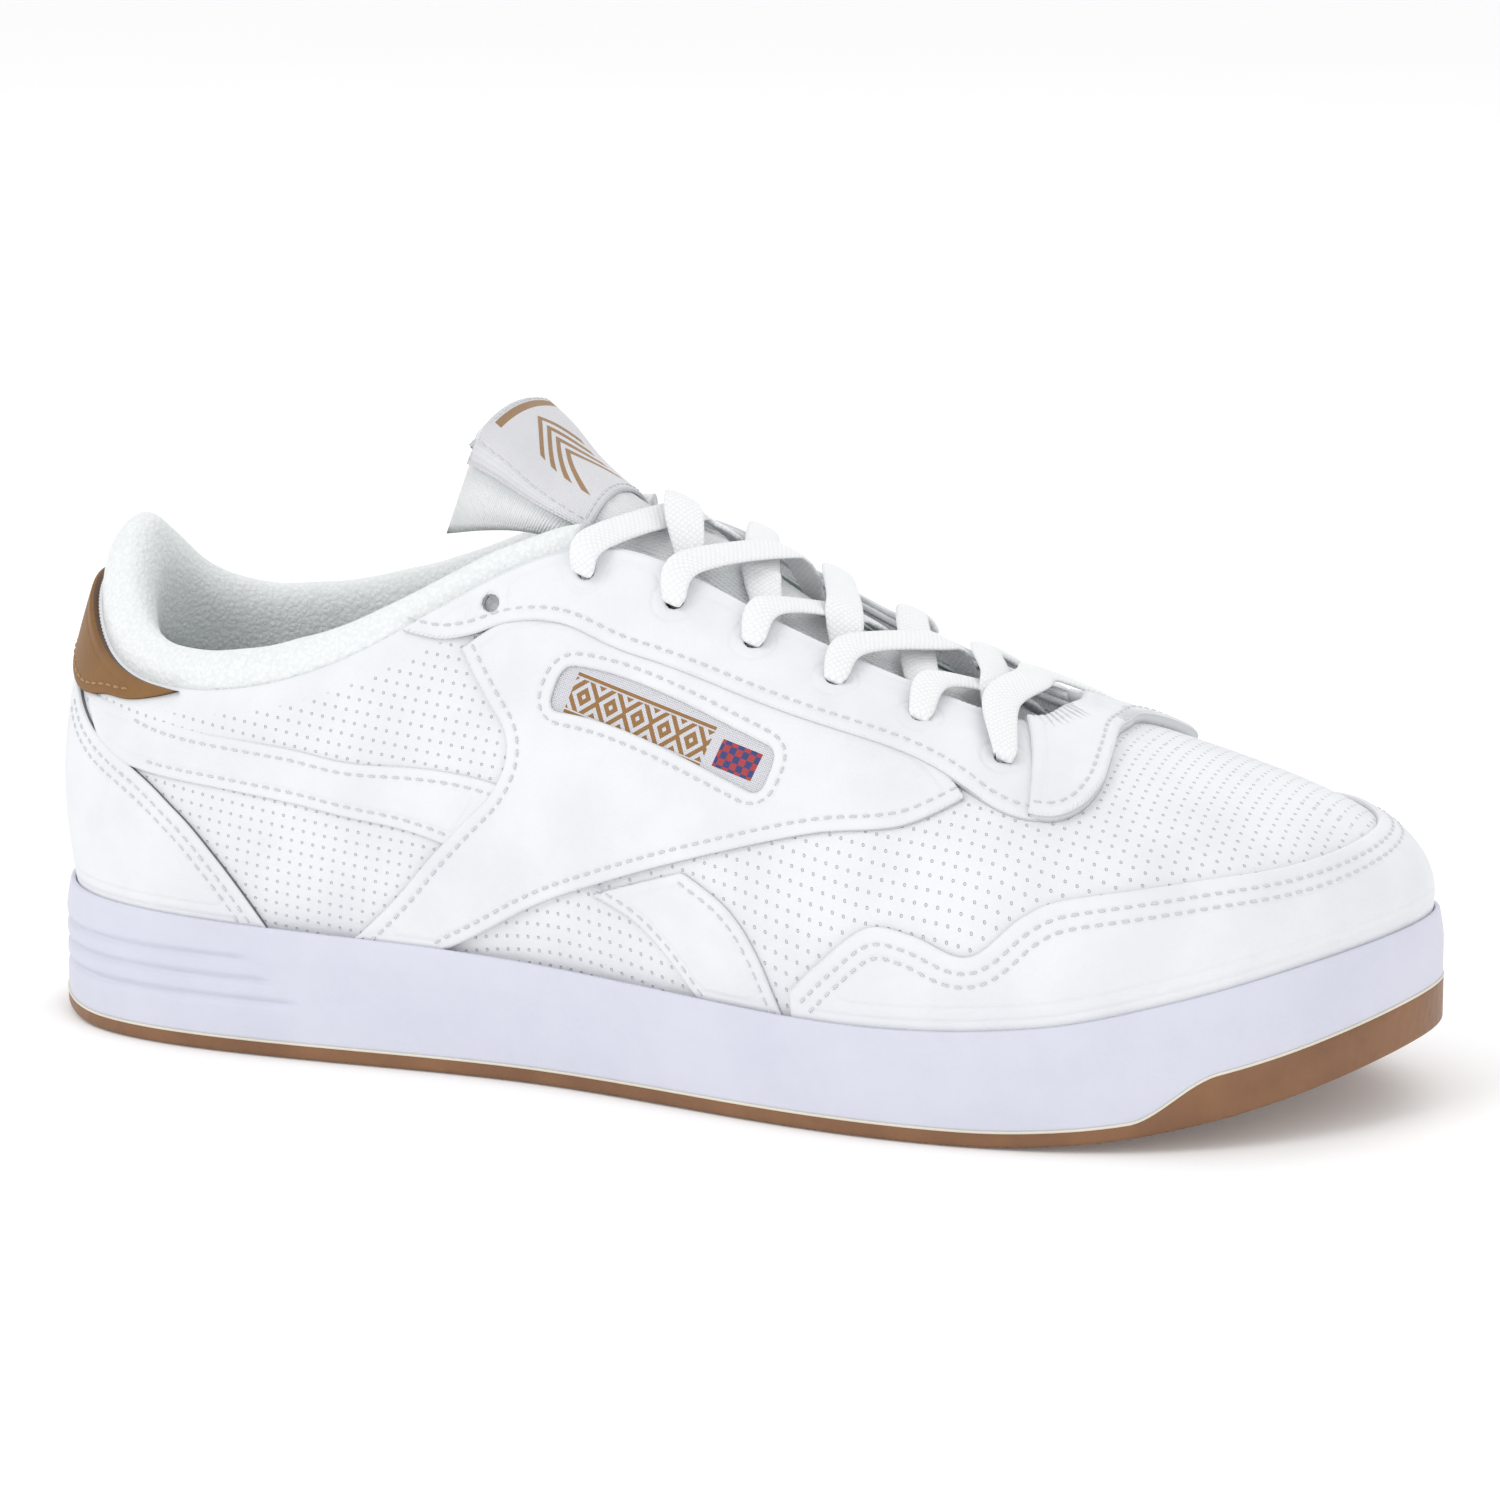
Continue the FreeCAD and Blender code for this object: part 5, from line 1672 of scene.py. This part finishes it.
def half_lace(side):
    """Middle line and width of one half, from the bottom bar up to its hidden end."""
    last_eyelet = len(EYELETS) - 1
    bar = EYELETS[last_eyelet][0]
    line = [(over_tongue(bar, 0.0, BAR_LEVEL), LACE_WIDTH), (throat(bar, side, 2.2, 1.8), LACE_WIDTH)]
    for index in range(last_eyelet, 0, -1):
        line.append((eyelet(index, side, 3.2), BUNCHED + 2.0))
        line.append((eyelet(index, side, 0.6), BUNCHED))
        line.append((eyelet(index, side, -2.2), BUNCHED))
        line.append((eyelet(index, side, UNDER - 0.3), BUNCHED))
        if index == 1:
            break
        u = EYELETS[index][0]
        ahead = EYELETS[index - 1][0] - u
        line.append((throat(u + 0.02 * ahead, side, UNDER - 0.1), BUNCHED))
        line.append((over_tongue(u + 0.10 * ahead, side * 0.84, EDGE_LEVEL), BUNCHED + 2.5))
        order = 0 if side * (-1) ** index > 0 else 1
        line.append((over_tongue(u + 0.33 * ahead, side * 0.42, DIVE_LEVELS[order]), LACE_WIDTH))
        line.append((over_tongue(u + 0.50 * ahead, 0.0, CROSSING_LEVELS[order]), LACE_WIDTH))
        line.append((throat(u + 0.93 * ahead, -side, 2.2, 1.2), LACE_WIDTH - 1))
        side = -side
    u, v = EYELETS[1]
    for drop in (0.06, 0.12):
        end = u + 0.10 + drop
        line.append((skin(on_side(side, end), v - drop, UNDER - 0.9), BUNCHED))
    return line, side


def lace_line():
    first, _ = half_lace(-1)
    second, _ = half_lace(1)
    return first[::-1] + second[1:]


def make_lace():
    """Flat braided lace: an oval section carried along the lacing, narrower where it is gathered."""
    line = lace_line()
    places = [tuple(p) for p, _ in line]
    widths = [[w] for _, w in line]
    rows = 15 * (len(line) - 1)
    sides = 16
    points = []
    flat = []
    run = 0.0
    before = None
    for i in range(rows + 1):
        t = i / rows
        here = Vector(along(places, t))
        step = Vector(along(places, min(t + 0.0008, 1.0))) - Vector(along(places, max(t - 0.0008, 0.0)))
        ahead = step.normalized()
        across = (THROAT_DIRECTION - ahead * THROAT_DIRECTION.dot(ahead)).normalized()
        face = ahead.cross(across)
        width = along(widths, t)[0]
        thick = LACE_THICK * (1 + 0.9 * (1 - width / LACE_WIDTH))
        if before is not None:
            run += (here - before).length
        before = here
        sway = 0.25 * math.sin(run / 7.3)
        for j in range(sides):
            angle = 2 * math.pi * j / sides
            c, s = math.cos(angle), math.sin(angle)
            side_share = math.copysign(abs(c) ** 0.75, c)
            lift = math.copysign(abs(s) ** 0.8, s) * thick / 2
            cup = 0.25 * (side_share ** 2) * (width / LACE_WIDTH)
            lift = lift - cup * (1 if face.z > 0 else -1) + sway * side_share * 0.5
            points.append(here + across * (side_share * width / 2) + face * lift)
            flat.append((run, side_share * width / 2))
    obj = closed_tube("shoelace", points, rows, sides, flat)
    finish_piece(obj, "shell", "lace_cotton", "shoelace", material=MATERIALS["braid"])


# ---------------------------------------------------------------- assembly

FIRM_NODES = (("midsole_foam", "foam"), ("strobel_board", "board"), ("toe_puff", "stiff"),
              ("heel_counter", "stiff"), ("eyelet_tape_lateral", "tape"),
              ("eyelet_tape_medial", "tape"), ("aglets", "film"))


def dress_node(node, material):
    """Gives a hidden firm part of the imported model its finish."""
    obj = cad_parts[node]
    obj.data.materials.clear()
    obj.data.materials.append(MATERIALS[material])


make_camera()
make_studio()
make_floor()
make_lace()
for side, name in ((-1, "lateral"), (1, "medial")):
    quarter(name, side)
    inner = box_loop(0.02, 4.14, -0.03, 0.64)
    lining("quarter_lining_" + name, sided(side, inner), "quarter_lining_" + name)
vamp()
lining("vamp_lining", box_loop(4.16, TURN - 4.16, -0.03, 0.995), "vamp_lining")
end_overlays()
for side, name in ((-1, "lateral"), (1, "medial")):
    side_overlays(side, name)
front_overlays()
stitch_upper()
make_sole()
sock_layer("sockliner_foam", 0.0, SOCK_FOAM - 0.5, "sockliner_foam", "padding_foam", "foam")
sock_layer("sockliner_cloth", SOCK_FOAM, SOCK_FOAM + SOCK_CLOTH, "sockliner_cloth", "sock_cloth", "sock")
make_collar()
tongue = tongue_body("tongue", 0.0, TONGUE_DEPTH, 1.0, ("tongue_face", "tongue_foam"), "tongue_knit",
                     "knit", 0.9)
tongue_body("tongue_lining", TONGUE_DEPTH + 0.1, TONGUE_DEPTH + 0.9, 0.96, ("tongue_lining",),
            "lining_fabric", "lining")
tongue_root()
make_tongue_label()
stitch_tongue_label()
for node, finish in FIRM_NODES:
    dress_node(node, finish)
